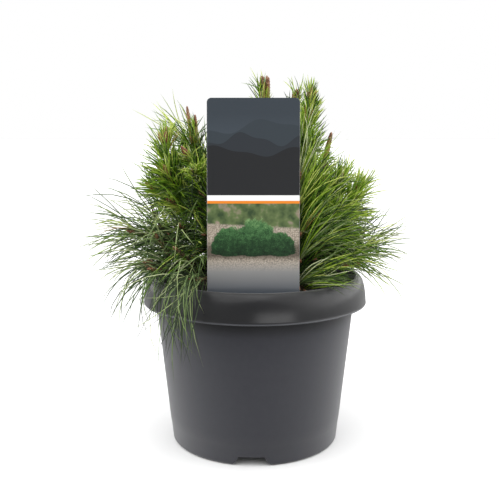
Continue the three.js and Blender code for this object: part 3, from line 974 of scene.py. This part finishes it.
def cut_by(piece, cutters):
    """Cuts the cutters out of a piece and removes them."""
    for cutter in cutters:
        modifier = piece.modifiers.new("cut", "BOOLEAN")
        modifier.operation = "DIFFERENCE"
        modifier.object = cutter
        modifier.solver = "MANIFOLD"
    bpy.context.view_layer.update()
    evaluated = piece.evaluated_get(bpy.context.evaluated_depsgraph_get())
    mesh = bpy.data.meshes.new_from_object(evaluated)
    piece.modifiers.clear()
    piece.data = mesh
    for cutter in cutters:
        bpy.data.objects.remove(cutter)


def prism(outline, low, high):
    """A cutter with that outline across X and Z, between two places along Y."""
    work = bmesh.new()
    near, far = [[new_point(work, x, y, z) for x, z in outline] for y in (low, high)]
    work.faces.new(near)
    work.faces.new(reversed(far))
    walls_between(work, near, far)
    return linked("cutter", closed_mesh("cutter", work))


# ---------------------------------------------------------------- pot


def outer_wall(height):
    return POT["base"] + POT["flare"] * height


def inner_wall(height):
    return outer_wall(height) - POT["wall"]


def pot_profile():
    """The pot's section, from the middle of its foot round the outside and back to the middle."""
    skirt = POT_HEIGHT - POT["skirt_drop"]
    roof = POT_HEIGHT - POT["roof_drop"]
    floor_top = POT["floor"] + POT["wall"]
    ring_inside = POT["base"] - POT["ring"]
    skirt_inside = RIM_RADIUS - POT["skirt_wall"]
    step, over_step = POT["step"], POT["step"] + POT["step_height"]
    fillet, small, low = POT["fillet"], POT["round"], POT["edge"]
    foot_round, ring_round, roof_round = POT["foot_round"], POT["ring_round"], POT["roof_round"]
    knee_in, knee_down = POT["shoulder_knee"]
    shoulder = curve_points(
        (RIM_RADIUS - POT["bead"] / 2, 0, skirt + POT["bead_height"]),
        (RIM_RADIUS - knee_in, 0, POT_HEIGHT - knee_down),
        (POT["mouth"] + POT["lip"], 0, POT_HEIGHT),
        np.linspace(0, 1, 20),
    )[0]
    flat = POT["foot"] - foot_round
    underside = [(0, 0), (flat, 0), *arc((flat, foot_round), foot_round, -90, 0, 4)]
    underside += [(POT["foot"] + POT["foot_draft"], POT["floor"]), (ring_inside, POT["floor"])]
    base = arc((ring_inside + ring_round, ring_round), ring_round, 180, 270, 3)
    base += arc((outer_wall(0) - low, low), low, -90, 0, 8)
    heights = np.linspace(step + POT["outer_start"], roof - fillet, 12)
    straight = [(outer_wall(height), height) for height in heights]
    (draft, low_draft), (over_edge, thin) = POT["skirt_draft"], POT["skirt_heights"]
    wall = [
        (outer_wall(step) - POT["step_depth"], step),
        (outer_wall(over_step), over_step),
        *straight,
        *arc((outer_wall(roof) + fillet, roof - fillet), fillet, 180, 90, 5),
        *arc((skirt_inside - draft - roof_round, roof - roof_round), roof_round, 90, 0, 6),
        (skirt_inside - low_draft, skirt + over_edge),
    ]
    edge = [(skirt_inside, skirt + thin), *arc((RIM_RADIUS - small, skirt + small), small, -120, 40, 8)]
    rim = [(point[0], point[2]) for point in shoulder]
    heights = np.linspace(roof - POT["inner_start"], floor_top + fillet, 6)
    inside = [
        *arc((POT["mouth"] + small, POT_HEIGHT - small), small, 90, 180, 5),
        (inner_wall(roof), roof),
        *[(inner_wall(height), height) for height in heights],
        *arc((inner_wall(floor_top) - fillet, floor_top + fillet), fillet, 0, -90, 4)[1:],
        (POT["foot"] + POT["foot_draft"] - POT["wall"], floor_top),
        (POT["foot"] - POT["wall"], POT["wall"]),
        (0, POT["wall"]),
    ]
    return [*underside, *base, *wall, *edge, *rim, *inside]


# Half of a foot notch, across and up: a rounded lower corner, a sloping side and a flat roof.
NOTCH_SIDE = [
    (22, -1),
    (22, 0.05),
    (20.4, 0.25),
    (19, 0.7),
    (17.8, 1.4),
    (16.7, 2.4),
    (15.6, 3.7),
    (14.5, 5.2),
    (12.9, 8.6),
    (12.6, 9.1),
    (12.1, 9.4),
]


def make_pot():
    finishes = [
        pot_finish("pot_plastic", roughness=0.36, shine=0.25, sheen=0.4),
        # The rim's finish carries the painted highlight along the skirt's lower edge.
        pot_finish("rim_plastic", roughness=0.24, shine=0.3, sheen=0.26, painted_highlight=True),
    ]
    pot = turned("nursery_pot", pot_profile(), POT["sides"], finishes[0])
    cutters = []
    outline = [*NOTCH_SIDE, *[(-x, z) for x, z in reversed(NOTCH_SIDE)]]
    for k in range(POT["notches"]):
        notch = prism(outline, -POT["base"] - POT["notch_depth"], -POT["base"] + POT["notch_depth"])
        notch.rotation_euler.z = math.radians(POT["notch_turn"]) + 2 * math.pi * k / POT["notches"]
        cutters.append(notch)
    middle = (POT["foot"] + POT["base"]) / 2
    circle = arc((0, 0), POT["drain_radius"], 0, 345, 23)
    for k in range(POT["drains"]):
        turn = 2 * math.pi * (k + 0.5) / POT["drains"]
        hole = prism(circle, -POT["drain_reach"], POT["drain_reach"])
        hole.rotation_euler.x = math.pi / 2
        hole.location = Vector((middle * math.cos(turn), middle * math.sin(turn), POT["floor"])) * MM
        cutters.append(hole)
    cut_by(pot, cutters)
    # The cut made a new mesh, so the finishes are listed on it afresh.
    pot.data.materials.clear()
    for finish in finishes:
        pot.data.materials.append(finish)
    skirt = POT_HEIGHT - POT["skirt_drop"]
    for face in pot.data.polygons:
        x, y, z = face.center / MM
        face.material_index = int(z > skirt and math.hypot(x, y) > POT["mouth"])
    pot.data.shade_smooth()
    pot.data.set_sharp_from_angle(angle=math.radians(32))
    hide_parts("pot")


# ---------------------------------------------------------------- soil


def soil_height(x, y):
    """The lumpy surface, lower towards the wall and level round the trunk."""
    radius = math.hypot(x, y)
    rim = inner_wall(SOIL_TOP) - SOIL["gap"]
    slope = SOIL["edge_drop"] * max(0.0, (radius - SOIL["flat"]) / (rim - SOIL["flat"]))
    near = Vector((x, y, 0)) / SOIL["lump_size"]
    lowest, highest = SOIL["lump_range"]
    lumps = max(lowest, min(highest, noise.fractal(near, *SOIL["lump_noise"])))
    return SOIL_TOP - slope + (lumps - highest) * SOIL["lumps"]


def make_soil():
    gap = SOIL["gap"]
    rim = inner_wall(SOIL_TOP - SOIL["edge_drop"]) - gap
    foot, thick = POT["foot"] - POT["wall"] - gap, POT["wall"] + gap
    floor_top = POT["floor"] + POT["wall"] + gap
    below = [
        (0, thick),
        (foot, thick),
        (foot + POT["foot_draft"], floor_top),
        (inner_wall(floor_top) - gap, floor_top),
    ]
    above = [(rim * (1 - k / SOIL["rings"]), SOIL_TOP) for k in range(SOIL["rings"])]
    soil = turned("potting_soil", [*below, *above, (0, SOIL_TOP)], SOIL["sides"], soil_finish())
    for vertex in soil.data.vertices:
        if vertex.co.z > SOIL_TOP / 2 * MM:
            vertex.co.z = soil_height(vertex.co.x / MM, vertex.co.y / MM) * MM
    soil.data.shade_smooth()
    soil.data.set_sharp_from_angle(angle=math.radians(50))
    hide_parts("soil")


def make_crumbs():
    """Loose crumbs and bits of wood on the soil: small uneven lumps half sunk in it."""
    rng = np.random.default_rng(41)
    gathered = Gathered()
    corners = np.array([[1, 0, 0], [-1, 0, 0], [0, 1, 0], [0, -1, 0], [0, 0, 1], [0, 0, -1]], float)
    upper = [[0, 2, 4], [2, 1, 4], [1, 3, 4], [3, 0, 4]]
    lower = [[2, 0, 5], [1, 2, 5], [3, 1, 5], [0, 3, 5]]
    faces = np.array([*upper, *lower])
    limit = inner_wall(SOIL_TOP) - CRUMB["margin"]
    for _ in range(CRUMB["count"]):
        radius = limit * math.sqrt(rng.random())
        turn = rng.random() * 2 * math.pi
        x, y = radius * math.cos(turn), radius * math.sin(turn)
        size = mix(*CRUMB["size"], rng.random() ** CRUMB["bias"])
        jags = rng.uniform(*CRUMB["jags"], (len(corners), 1))
        width, height = size * rng.uniform(*CRUMB["width"]), size * rng.uniform(*CRUMB["height"])
        shape = corners * jags * [size, width, height]
        spin = rng.random() * math.pi
        cos, sin = math.cos(spin), math.sin(spin)
        across = np.array([[cos, -sin, 0], [sin, cos, 0], [0, 0, 1]])
        centre = [x, y, soil_height(x, y) + size * CRUMB["lift"]]
        gathered.add(shape @ across.T + centre, faces, rng.choice(3, p=CRUMB["tints"]))
    materials = [
        plain_finish("crumb_dark", (26, 20, 16), 0.95),
        plain_finish("crumb_brown", (52, 38, 28), 0.95),
        plain_finish("crumb_wood", (96, 74, 52), 0.9),
    ]
    crumbs = gathered.piece("soil_crumbs", materials, smooth=False)


# ---------------------------------------------------------------- label


def label_outline():
    """The card's corners as places across it and heights over the rim, anticlockwise from its foot."""
    rise = (LABEL_TOP - POT_HEIGHT) / math.cos(math.radians(LABEL["lean"]))
    shoulder, foot = LABEL["shoulder"] - POT_HEIGHT, LABEL["foot"] - POT_HEIGHT
    stake, corner_radius = LABEL["stake_width"] / 2, LABEL["corner"]
    middle = (LABEL_HALF - corner_radius, rise - corner_radius)
    right = [
        (stake * LABEL["stake_end"], foot + LABEL["stake_point"]),
        (stake, shoulder - LABEL["stake_slope"]),
        (LABEL_HALF, shoulder),
        *arc(middle, corner_radius, 0, 90, LABEL["corner_steps"]),
    ]
    return [(0, foot), *right, *[(-x, z) for x, z in reversed(right)]]


def make_label():
    lean = math.radians(LABEL["lean"])
    half, bevel = LABEL["thickness"] / 2, LABEL["bevel"]
    outline = np.array(label_outline())
    inner = outline * [1 - bevel / LABEL["bevel_half"], 1]
    work = bmesh.new()

    def loop(corners, depth):
        made = []
        for x, z in corners:
            y = depth * math.cos(lean) + z * math.sin(lean) + LABEL["y"]
            height = POT_HEIGHT + z * math.cos(lean) - depth * math.sin(lean)
            made.append(new_point(work, x + LABEL_MIDDLE, y, height))
        return made

    layers = ((inner, -half), (outline, bevel - half), (outline, half - bevel), (inner, half))
    loops = [loop(*layer) for layer in layers]
    work.faces.new(loops[0])
    back = work.faces.new(list(reversed(loops[-1])))
    back.material_index = 1
    for near, far in zip(loops, loops[1:]):
        for side in walls_between(work, near, far):
            side.material_index = 2
    mesh = closed_mesh("plant_tag", work)
    mesh.materials.append(print_finish())
    mesh.materials.append(plain_finish("label_back", (62, 63, 66), 0.4))
    mesh.materials.append(plain_finish("label_edge", (150, 150, 150), 0.5))
    label = placed("plant_tag", mesh)
    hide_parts("plant_label")


# ---------------------------------------------------------------- trunk and limbs

# Heights in this part are above the soil, as in the solids.


def trunk_point(height):
    share = height / TRUNK_HEIGHT
    return np.array([TRUNK["lean"][0] * share**2, TRUNK["lean"][1] * share**2, height])


def trunk_radius(height):
    flare = TRUNK["flare"] * np.maximum(0, 1 - height / TRUNK["flare_height"]) ** 2
    return mix(TRUNK["foot_radius"], TRUNK["top_radius"], height / TRUNK_HEIGHT) + flare


SWINGS = (0.0, 1.2, -1.2, 2.4)  # turns tried for a side shoot until it has room


@dataclass
class Shoot:
    """A limb or side shoot: its curve, and the stretch of it that bears needles."""

    foot: np.ndarray
    knee: np.ndarray
    tip: np.ndarray
    hint: np.ndarray
    foot_radius: float
    tip_radius: float
    first: float  # share of the curve at which the needles start
    last: float = 1  # and at which it ends

    def points(self, shares):
        return curve_points(self.foot, self.knee, self.tip, shares)[0]

    def tangents(self, shares):
        return curve_tangents(self.foot, self.knee, self.tip, shares)[0]

    def at(self, share):
        """One point of it, and its direction there."""
        return self.points([share])[0], self.tangents([share])[0]

    def length(self):
        points = self.points(np.linspace(0, 1, 12))
        return np.linalg.norm(np.diff(points, axis=0), axis=1).sum()


def limb_curve(row):
    """The whole of a limb, from the trunk to its tip. Limbs with higher tips leave it higher up."""
    by_top = sorted(LIMBS, key=lambda other: other.top)
    rank = by_top.index(row) / (len(LIMBS) - 1)
    height = mix(BOUGH["first_height"], BOUGH["last_height"], rank)
    foot = trunk_point(height)
    turn = math.radians(row.turn)
    outward = np.array([math.cos(turn), math.sin(turn), 0])
    tip = outward * row.reach + UP * row.top
    knee = mix(foot, tip, row.bend)
    knee[2] = mix(height, row.top, BOUGH["knee_rise"])
    hint = np.array([-math.sin(turn), math.cos(turn), 0])
    first = row.bare * SHOOT["first"]
    return Shoot(foot, knee, tip, hint, BOUGH["foot_radius"], SHOOT["tip_radius"], first, row.end)


def has_room(points):
    """Whether points above the soil, (..., 3), are clear of the pot, the soil and the label."""
    whole = points + UP * SOIL_TOP
    x, y, height = whole[..., 0], whole[..., 1], whole[..., 2]
    in_reach = ((whole > REACH_LOW) & (whole < REACH_HIGH)).all(axis=-1)
    radius = np.hypot(x, y)
    over = height > POT_HEIGHT + CLEAR
    outside = (radius > RIM_RADIUS + CLEAR) & (height > CLEAR)
    inside = (radius < inner_wall(height) - CLEAR) & (points[..., 2] > CLEAR)
    across = np.abs(x - LABEL_MIDDLE) - LABEL_HALF
    plane = LABEL["y"] + (height - POT_HEIGHT) * math.tan(math.radians(LABEL["lean"]))
    behind = y > plane + LABEL["thickness"] / 2 + CLEAR
    free_of_label = (across > CLEAR) | (height > LABEL_TOP + CLEAR) | behind
    return (over | outside | inside) & free_of_label & in_reach


def side_shoots(row, limb, rng):
    """Side shoots one after the other along a limb, each a golden angle round from the last.

    Each comes with the row that tells how its needles grow.
    """
    made = []
    build = (limb.hint, SHOOT["side_radius"], SHOOT["tip_radius"])
    stem = limb.length() * (1 - row.bare)
    start, end = row.bare * SHOOT["first"], mix(row.bare, 1, SHOOT["last"])
    for k in range(row.sides):
        order = (k + rng.random()) / row.sides
        foot, tangent = limb.at(mix(start, end, order))
        first, second = cross_axes(tangent, limb.hint)
        reach = stem * mix(*SHOOT["reach"], order) * row.spread
        reach *= 1 + rng.uniform(-1, 1) * SHOOT["reach_spread"]
        lean = math.radians(mix(*SHOOT["lean"], rng.random()))
        for swing in SWINGS:
            turn = GOLDEN_ANGLE * (k + 1) + rng.random() + swing
            heading = towards(tangent, towards(first, second, turn), lean)
            knee = foot + heading * reach * SHOOT["knee"]
            tip = foot + heading * reach + UP * reach * SHOOT["upturn"]
            shoot = Shoot(foot, knee, tip, *build, SHOOT["bare"])
            if has_room(shoot.points(SHOOT["tested"]) - UP * SHOOT["room_below"]).all():
                made.append((shoot, row))
                break
    for tip, changes in row.extra:
        foot, tip = limb.at(row.bare)[0], np.array(tip)
        knee = mix(foot, tip, 0.5) - UP * SHOOT["extra_dip"]
        shoot = Shoot(foot, knee, tip, *build, SHOOT["extra_bare"])
        made.append((shoot, replace(row, **changes)))
    return made


# ---------------------------------------------------------------- needles

# What is tried for needles until they have room: how far they are lifted, and their length.
LIFTS = ((0, 1), (0.35, 0.92), (0.7, 0.75), (0.3, 0.5))


def needles_on(shoot, row, rng, gathered):
    """Pairs of needles in a spiral round one shoot, from its first share to its last."""
    count = int(shoot.length() * (shoot.last - shoot.first) / (NEEDLE["spacing"] * row.sparse))
    along = (np.arange(count) + 0.5) / count
    kept = rng.random(count) > NEEDLE["shed"] * (1 - along) ** 2
    share = mix(shoot.first, shoot.last, along)
    roots, tangents = shoot.points(share), shoot.tangents(share)
    first, second = cross_axes(tangents, shoot.hint)
    turn = GOLDEN_ANGLE * np.arange(count) + rng.random(count) * NEEDLE["turn_spread"]
    even_tilt = mix(NEEDLE["foot_tilt"], NEEDLE["tip_tilt"], along) * row.opened
    tilt = np.radians(even_tilt) * rng.normal(1, NEEDLE["tilt_spread"], count)
    length = row.needle * rng.uniform(*NEEDLE["lengths"], count) * mix(1, row.taper, along**2)
    # The tone rises from a shoot's foot to its tip: partly fresher young needles at the tip, partly
    # painted shade deep in the crown.
    level = row.tone + NEEDLE["lighter"] * (along - NEEDLE["even"])
    level = level + rng.normal(0, NEEDLE["shoot_spread"])
    level = level + rng.normal(0, NEEDLE["shade_spread"], count)
    greyish = rng.random(count) < row.grey
    tint = np.clip(level, 0, SHADES - 1).astype(int) + SHADES * greyish
    tint[rng.random(count) < NEEDLE["dry"] * (2 - along)] = DRY
    for side in (-1, 1):
        around = turn + side * NEEDLE["fork"] / np.maximum(np.sin(tilt), NEEDLE["least_sine"])
        heading = towards(tangents, towards(first, second, around), tilt)
        heading = unit(heading + [row.aside, 0, row.rise])
        sag = row.droop * rng.uniform(*NEEDLE["sag_spread"], count) + NEEDLE["sag"] * rng.random(count)
        bend = tangents * NEEDLE["incurve"] - UP * sag[:, None] + rng.normal(0, row.sway, (count, 3))
        bow = rng.normal(0, row.sway * NEEDLE["curl"], (count, 3))
        reach = length * rng.uniform(*NEEDLE["pair_lengths"], count)
        grow_needles(gathered, shoot.hint, row.thick, roots, heading, bend, bow, reach, tint, kept)


def grow_needles(gathered, hint, thick, roots, heading, bend, bow, reach, tint, kept):
    """Makes the needles that find room, some of them lifted and shortened for it."""
    girth = thick * np.array(NEEDLE["girth"])
    shares = np.linspace(0, 1, 2 * len(girth) - 1)  # twice as many points as are then made
    waiting = kept.copy()
    for lift, shorter in LIFTS:
        raised = unit(heading + UP * lift)
        long = (reach * shorter)[:, None]
        knee = roots + (raised * 0.5 + bow) * long
        tip = roots + unit(raised + bend) * long
        centres = curve_points(roots, knee, tip, shares)
        free = waiting & has_room(centres[:, 1:]).all(axis=1)
        if free.any():
            radii = np.broadcast_to(girth, (free.sum(), len(girth)))
            hints = np.broadcast_to(hint, (free.sum(), 3)) + OFF_AXIS
            gathered.grow(centres[free, ::2], radii, hints, NEEDLE["sides"], tint[free])
        waiting &= ~free


def bracts_on(shoot, rng, gathered):
    """Small dry scales along a shoot, pressed to its bark, where the needles stand."""
    count = int(shoot.length() * (shoot.last - shoot.first) / BRACT["spacing"])
    share = mix(shoot.first, shoot.last, (np.arange(count) + 0.5) / count)
    tangents = shoot.tangents(share)
    first, second = cross_axes(tangents, shoot.hint)
    outward = towards(first, second, GOLDEN_ANGLE * np.arange(count) + rng.random(count))
    heading = towards(tangents, outward, math.radians(BRACT["tilt"]))
    roots = shoot.points(share) + outward * shoot.tip_radius * BRACT["stand"]
    long = (BRACT["length"] * rng.uniform(*BRACT["lengths"], count))[:, None]
    knees, tips = roots + heading * long * 0.5, roots + heading * long
    centres = curve_points(roots, knees, tips, BRACT["places"])
    radii = np.broadcast_to(BRACT["radius"] * np.array(BRACT["girth"]), (count, 3))
    hints = np.broadcast_to(shoot.hint, (count, 3)) + OFF_AXIS
    tints = rng.choice(3, p=BRACT["tints"], size=count)
    gathered.grow(centres, radii, hints, BRACT["sides"], tints)


# ---------------------------------------------------------------- buds


def scale_pattern(rings, sides):
    """1 and -1 by turns, round each ring and from ring to ring."""
    return (np.arange(rings)[:, None] + np.arange(sides)) % 2 * 2 - 1


def scaly_bud(
    rng, gathered, foot, heading, length, radius,
    rings=BUD["rings"], fullness=BUD["fullness"], green=0,
):
    """One bud with rows of scales, every other scale of a row standing out.

    A low fullness makes it a blunt column, and green is the share of it, from its foot, that
    has turned olive.
    """
    share = np.linspace(0, 1, rings)
    centres = foot + heading * length * share[:, None]
    start, stretch = BUD["swell"]
    swell = radius * np.sin(math.pi * np.clip(share * stretch + start, 0, 1)) ** fullness
    relief = scale_pattern(rings - 1, BUD["sides"]) * BUD["relief"] * swell[:-1, None]
    hint = np.array([BUD["hint"]])
    points, faces = tubes(centres[None], swell[None], hint, BUD["sides"], relief=relief[None])
    middles = points[faces[0]].mean(axis=1)
    along = ((middles - foot) @ heading) / length
    tints = rng.choice(3, p=BUD["tints"], size=len(middles))
    tints[along < green - BUD["green_spread"] * rng.random(len(middles))] = OLIVE
    gathered.add(points + UP * SOIL_TOP, faces.reshape(-1, 3), tints)


def bud_cluster(row, limb, rng, gathered):
    """The buds at a limb's tip: a large one among smaller ones, or candles that have stretched."""
    tip, heading = limb.at(limb.last)
    first, second = cross_axes(heading, limb.hint)
    radius, length = BUD["radius"] * row.bud, BUD["length"] * row.bud
    foot = tip - heading * (CANDLE["stalk"] if row.candles else radius)
    if not row.candles:
        scaly_bud(rng, gathered, foot, heading, length, radius)
    for k in range(row.candles):
        turn = 2 * math.pi * k / row.candles
        outward = (first * math.sin(turn) - second * math.cos(turn)) * (row.candles > 1)
        width = CANDLE["radius"] * row.bud
        tall = (CANDLE["stalk"] + CANDLE["length"]) * (1 - row.stagger * k)
        start = foot + outward * width * CANDLE["apart"]
        splayed = unit(heading + outward * CANDLE["splay"])
        column = (CANDLE["rings"], CANDLE["fullness"], CANDLE["green"])
        scaly_bud(rng, gathered, start, splayed, tall, width, *column)
    small = radius * BUD["around_share"]
    for k in range(BUD["around"]):
        outward = towards(first, second, 2 * math.pi * k / BUD["around"] + rng.random())
        tall = length * BUD["around_share"] * rng.uniform(*BUD["around_lengths"])
        splayed = unit(heading + outward * BUD["around_splay"])
        scaly_bud(rng, gathered, foot + outward * small, splayed, tall, small)


def side_bud(shoot, row, rng, gathered):
    tip, heading = shoot.at(1)
    share = BUD["side_share"] * row.bud
    scaly_bud(rng, gathered, tip - heading, heading, BUD["length"] * share, BUD["radius"] * share)


# ---------------------------------------------------------------- bark


def bark_relief(points, size, depth):
    """How far the bark stands out at each point: plates with furrows between them."""
    flat = points.reshape(-1, 3)
    heights = np.empty(len(flat))
    for k, (x, y, z) in enumerate(flat):
        near = Vector((x, y, z * BARK["stretch"])) / size
        cells = noise.voronoi(near)[0]
        furrow = min(1.0, (cells[1] - cells[0]) * BARK["furrow"])
        grain = noise.noise(near * BARK["fine"]) * depth * BARK["fine_share"]
        heights[k] = (furrow - BARK["level"]) * depth + grain
    return heights.reshape(points.shape[:-1])


def grow_wood(gathered, centres, radii, hint, wood):
    """Adds a closed length of wood with its bark, round (s, 3) centre points."""
    spokes = spokes_round(centres[None], hint[None], wood["sides"])
    surface = centres[None, :, None] + radii[None, :, None, None] * spokes
    relief = bark_relief(surface, wood["plate"], wood["relief"])
    gathered.grow(centres[None], radii[None], hint[None], wood["sides"], 0, False, relief)


def make_trunk():
    gathered = Gathered()
    heights = np.linspace(SOIL["gap"], TRUNK_HEIGHT, TRUNK["rings"])
    centres = np.array([trunk_point(height) for height in heights])
    grow_wood(gathered, centres, trunk_radius(heights), np.array([1.0, 0, 0]), TRUNK)
    trunk = gathered.piece("trunk_bark", [bark_finish("trunk_bark", TRUNK["plate"])])
    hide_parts("trunk")


def make_boughs(limbs):
    """The bare part of every limb, with finer bark, joined into one piece."""
    gathered = Gathered()
    for row, limb in limbs:
        shares = np.linspace(0, row.bare + BOUGH["overlap"], BOUGH["rings"])
        radii = mix(BOUGH["foot_radius"], BOUGH["tip_radius"], shares / row.bare)
        grow_wood(gathered, limb.points(shares), radii, limb.hint, BOUGH)
    boughs = gathered.piece("bough_bark", [bark_finish("bough_bark", BOUGH["plate"])])
    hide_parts(*["bough_" + row.name for row in LIMBS])


def twig_on(shoot, start, foot_radius, gathered):
    """The woody part of a shoot, with the scales that its needles stand on."""
    shares = np.linspace(start, shoot.last, SHOOT["rings"])
    radii = mix(foot_radius, shoot.tip_radius, (shares - start) / (shoot.last - start))
    relief = scale_pattern(len(shares), SHOOT["sides"]) * SHOOT["scale_relief"]
    centres, hint = shoot.points(shares)[None], shoot.hint[None]
    gathered.grow(centres, radii[None], hint, SHOOT["sides"], 0, False, relief[None])


# ---------------------------------------------------------------- the whole plant


def make_plant():
    limbs = [(row, limb_curve(row)) for row in LIMBS]
    make_trunk()
    make_boughs(limbs)
    needles = {name: Gathered() for name in NEEDLE_PIECES}
    twigs, buds = Gathered(), Gathered()
    for number, (row, limb) in enumerate(limbs):
        rng = np.random.default_rng(number + 1)
        home = next(name for name, members in NEEDLE_PIECES.items() if row.name in members)
        twig_on(limb, row.bare, BOUGH["tip_radius"], twigs)
        shoots = side_shoots(row, limb, rng)
        for shoot, grown in shoots:
            twig_on(shoot, 0, shoot.foot_radius, twigs)
            side_bud(shoot, grown, rng, buds)
        for shoot, grown in [(limb, row), *shoots]:
            needles_on(shoot, grown, rng, needles[home])
            bracts_on(shoot, rng, twigs)
        bud_cluster(row, limb, rng, buds)
    greens = [plain_finish(name, colour, 0.5, shine=0.3) for name, colour in NEEDLE_COLOURS.items()]
    for name, gathered in needles.items():
        piece = gathered.piece(name, greens)
        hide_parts(*["needles_" + member for member in NEEDLE_PIECES[name]])
    woods = [plain_finish(name, colour, 0.8) for name, colour in TWIG_COLOURS.items()]
    twigs.piece("twigs", woods)
    reds = [plain_finish(name, colour, 0.55) for name, colour in BUD_COLOURS.items()]
    buds.piece("buds", reds)


# ---------------------------------------------------------------- studio


# The studio's own sizes and places are metres.
FLOOR_REACH = 80  # so that its far edge lies at the horizon
FLOOR_DROP = 0.0002
SKY = {"even": 0.6, "sides": 2.6, "back": 1.2, "top": 0.1, "front_dip": 0.4}

# The broad even lights: height and compass turn in degrees, 0 being in front, then spread and power.
SUNS = {"key": (55, -40, 70, 1.7), "fill": (50, 60, 80, 1.2), "side": (14, -80, 30, 0.5)}
PANEL = {"place": (0.32, -0.94, 0.03), "tilt": 97, "turn": 19, "size": (0.6, 0.24), "power": 2.5}
CAMERA = {"place": (-0.00556, -0.7631, 0.3127), "down": 8.594, "lens": 53.6, "sensor": 36}


def make_sun(name, height, turn, spread, power):
    """One of the broad even lights."""
    lamp = bpy.data.lights.new(name, "SUN")
    lamp.angle = math.radians(spread)
    lamp.energy = power
    made = linked(name, lamp)
    made.rotation_euler = (math.radians(90 - height), 0, math.radians(turn))


def make_low_panel():
    """A panel near the floor in front, which glints on the rim. The camera doesn't see it."""
    lamp = bpy.data.lights.new("low_panel", "AREA")
    lamp.shape = "RECTANGLE"
    lamp.size, lamp.size_y = PANEL["size"]
    lamp.energy = PANEL["power"]
    made = linked("low_panel", lamp)
    made.location = PANEL["place"]
    made.rotation_euler = (math.radians(PANEL["tilt"]), 0, math.radians(PANEL["turn"]))
    made.visible_camera = False


def studio_sky():
    """White for the eye, but its light comes from the sides and above more than from in front."""
    world = bpy.data.worlds.new("studio_sky")
    sky = Shading(world)
    x, y, z = sky.parts(sky.add("TexCoord"))
    light = x**4 * SKY["sides"] + y.highest(0) * SKY["back"] + z.highest(0) * SKY["top"]
    light = light + SKY["even"] - (y * -1).highest(0) * SKY["front_dip"]
    background = sky.nodes["Background"].inputs
    sky.set(background["Color"], (255, 255, 255))
    sky.set(background["Strength"], light + sky.seen() * (1 - light))
    return world


def make_floor():
    """A wide floor that looks white, but sends less light on."""
    mesh = bpy.data.meshes.new("studio_floor")
    ways = ((-1, -1), (1, -1), (1, 1), (-1, 1))
    corners = [(x * FLOOR_REACH, y * FLOOR_REACH, -FLOOR_DROP) for x, y in ways]
    mesh.from_pydata(corners, [], [(0, 1, 2, 3)])
    white = Finish("floor_white", (250, 250, 250), Roughness=0.9)
    white.feed("Base Color", white.mixed(white.seen(), (112, 112, 112), (230, 230, 230)))
    mesh.materials.append(white.material)
    floor = linked("studio_floor", mesh)


def make_studio():
    make_floor()
    bpy.context.scene.world = studio_sky()
    bpy.context.scene.view_settings.view_transform = "Standard"
    for name, settings in SUNS.items():
        make_sun(name, *settings)
    make_low_panel()


def make_camera():
    camera = bpy.data.cameras.new("camera")
    camera.sensor_width = CAMERA["sensor"]
    camera.lens = CAMERA["lens"]
    made = linked("camera", camera)
    made.location = CAMERA["place"]
    made.rotation_euler = (math.radians(90 - CAMERA["down"]), 0, 0)
    bpy.context.scene.camera = made


make_camera()
make_studio()
make_pot()
make_soil()
make_crumbs()
make_label()
make_plant()
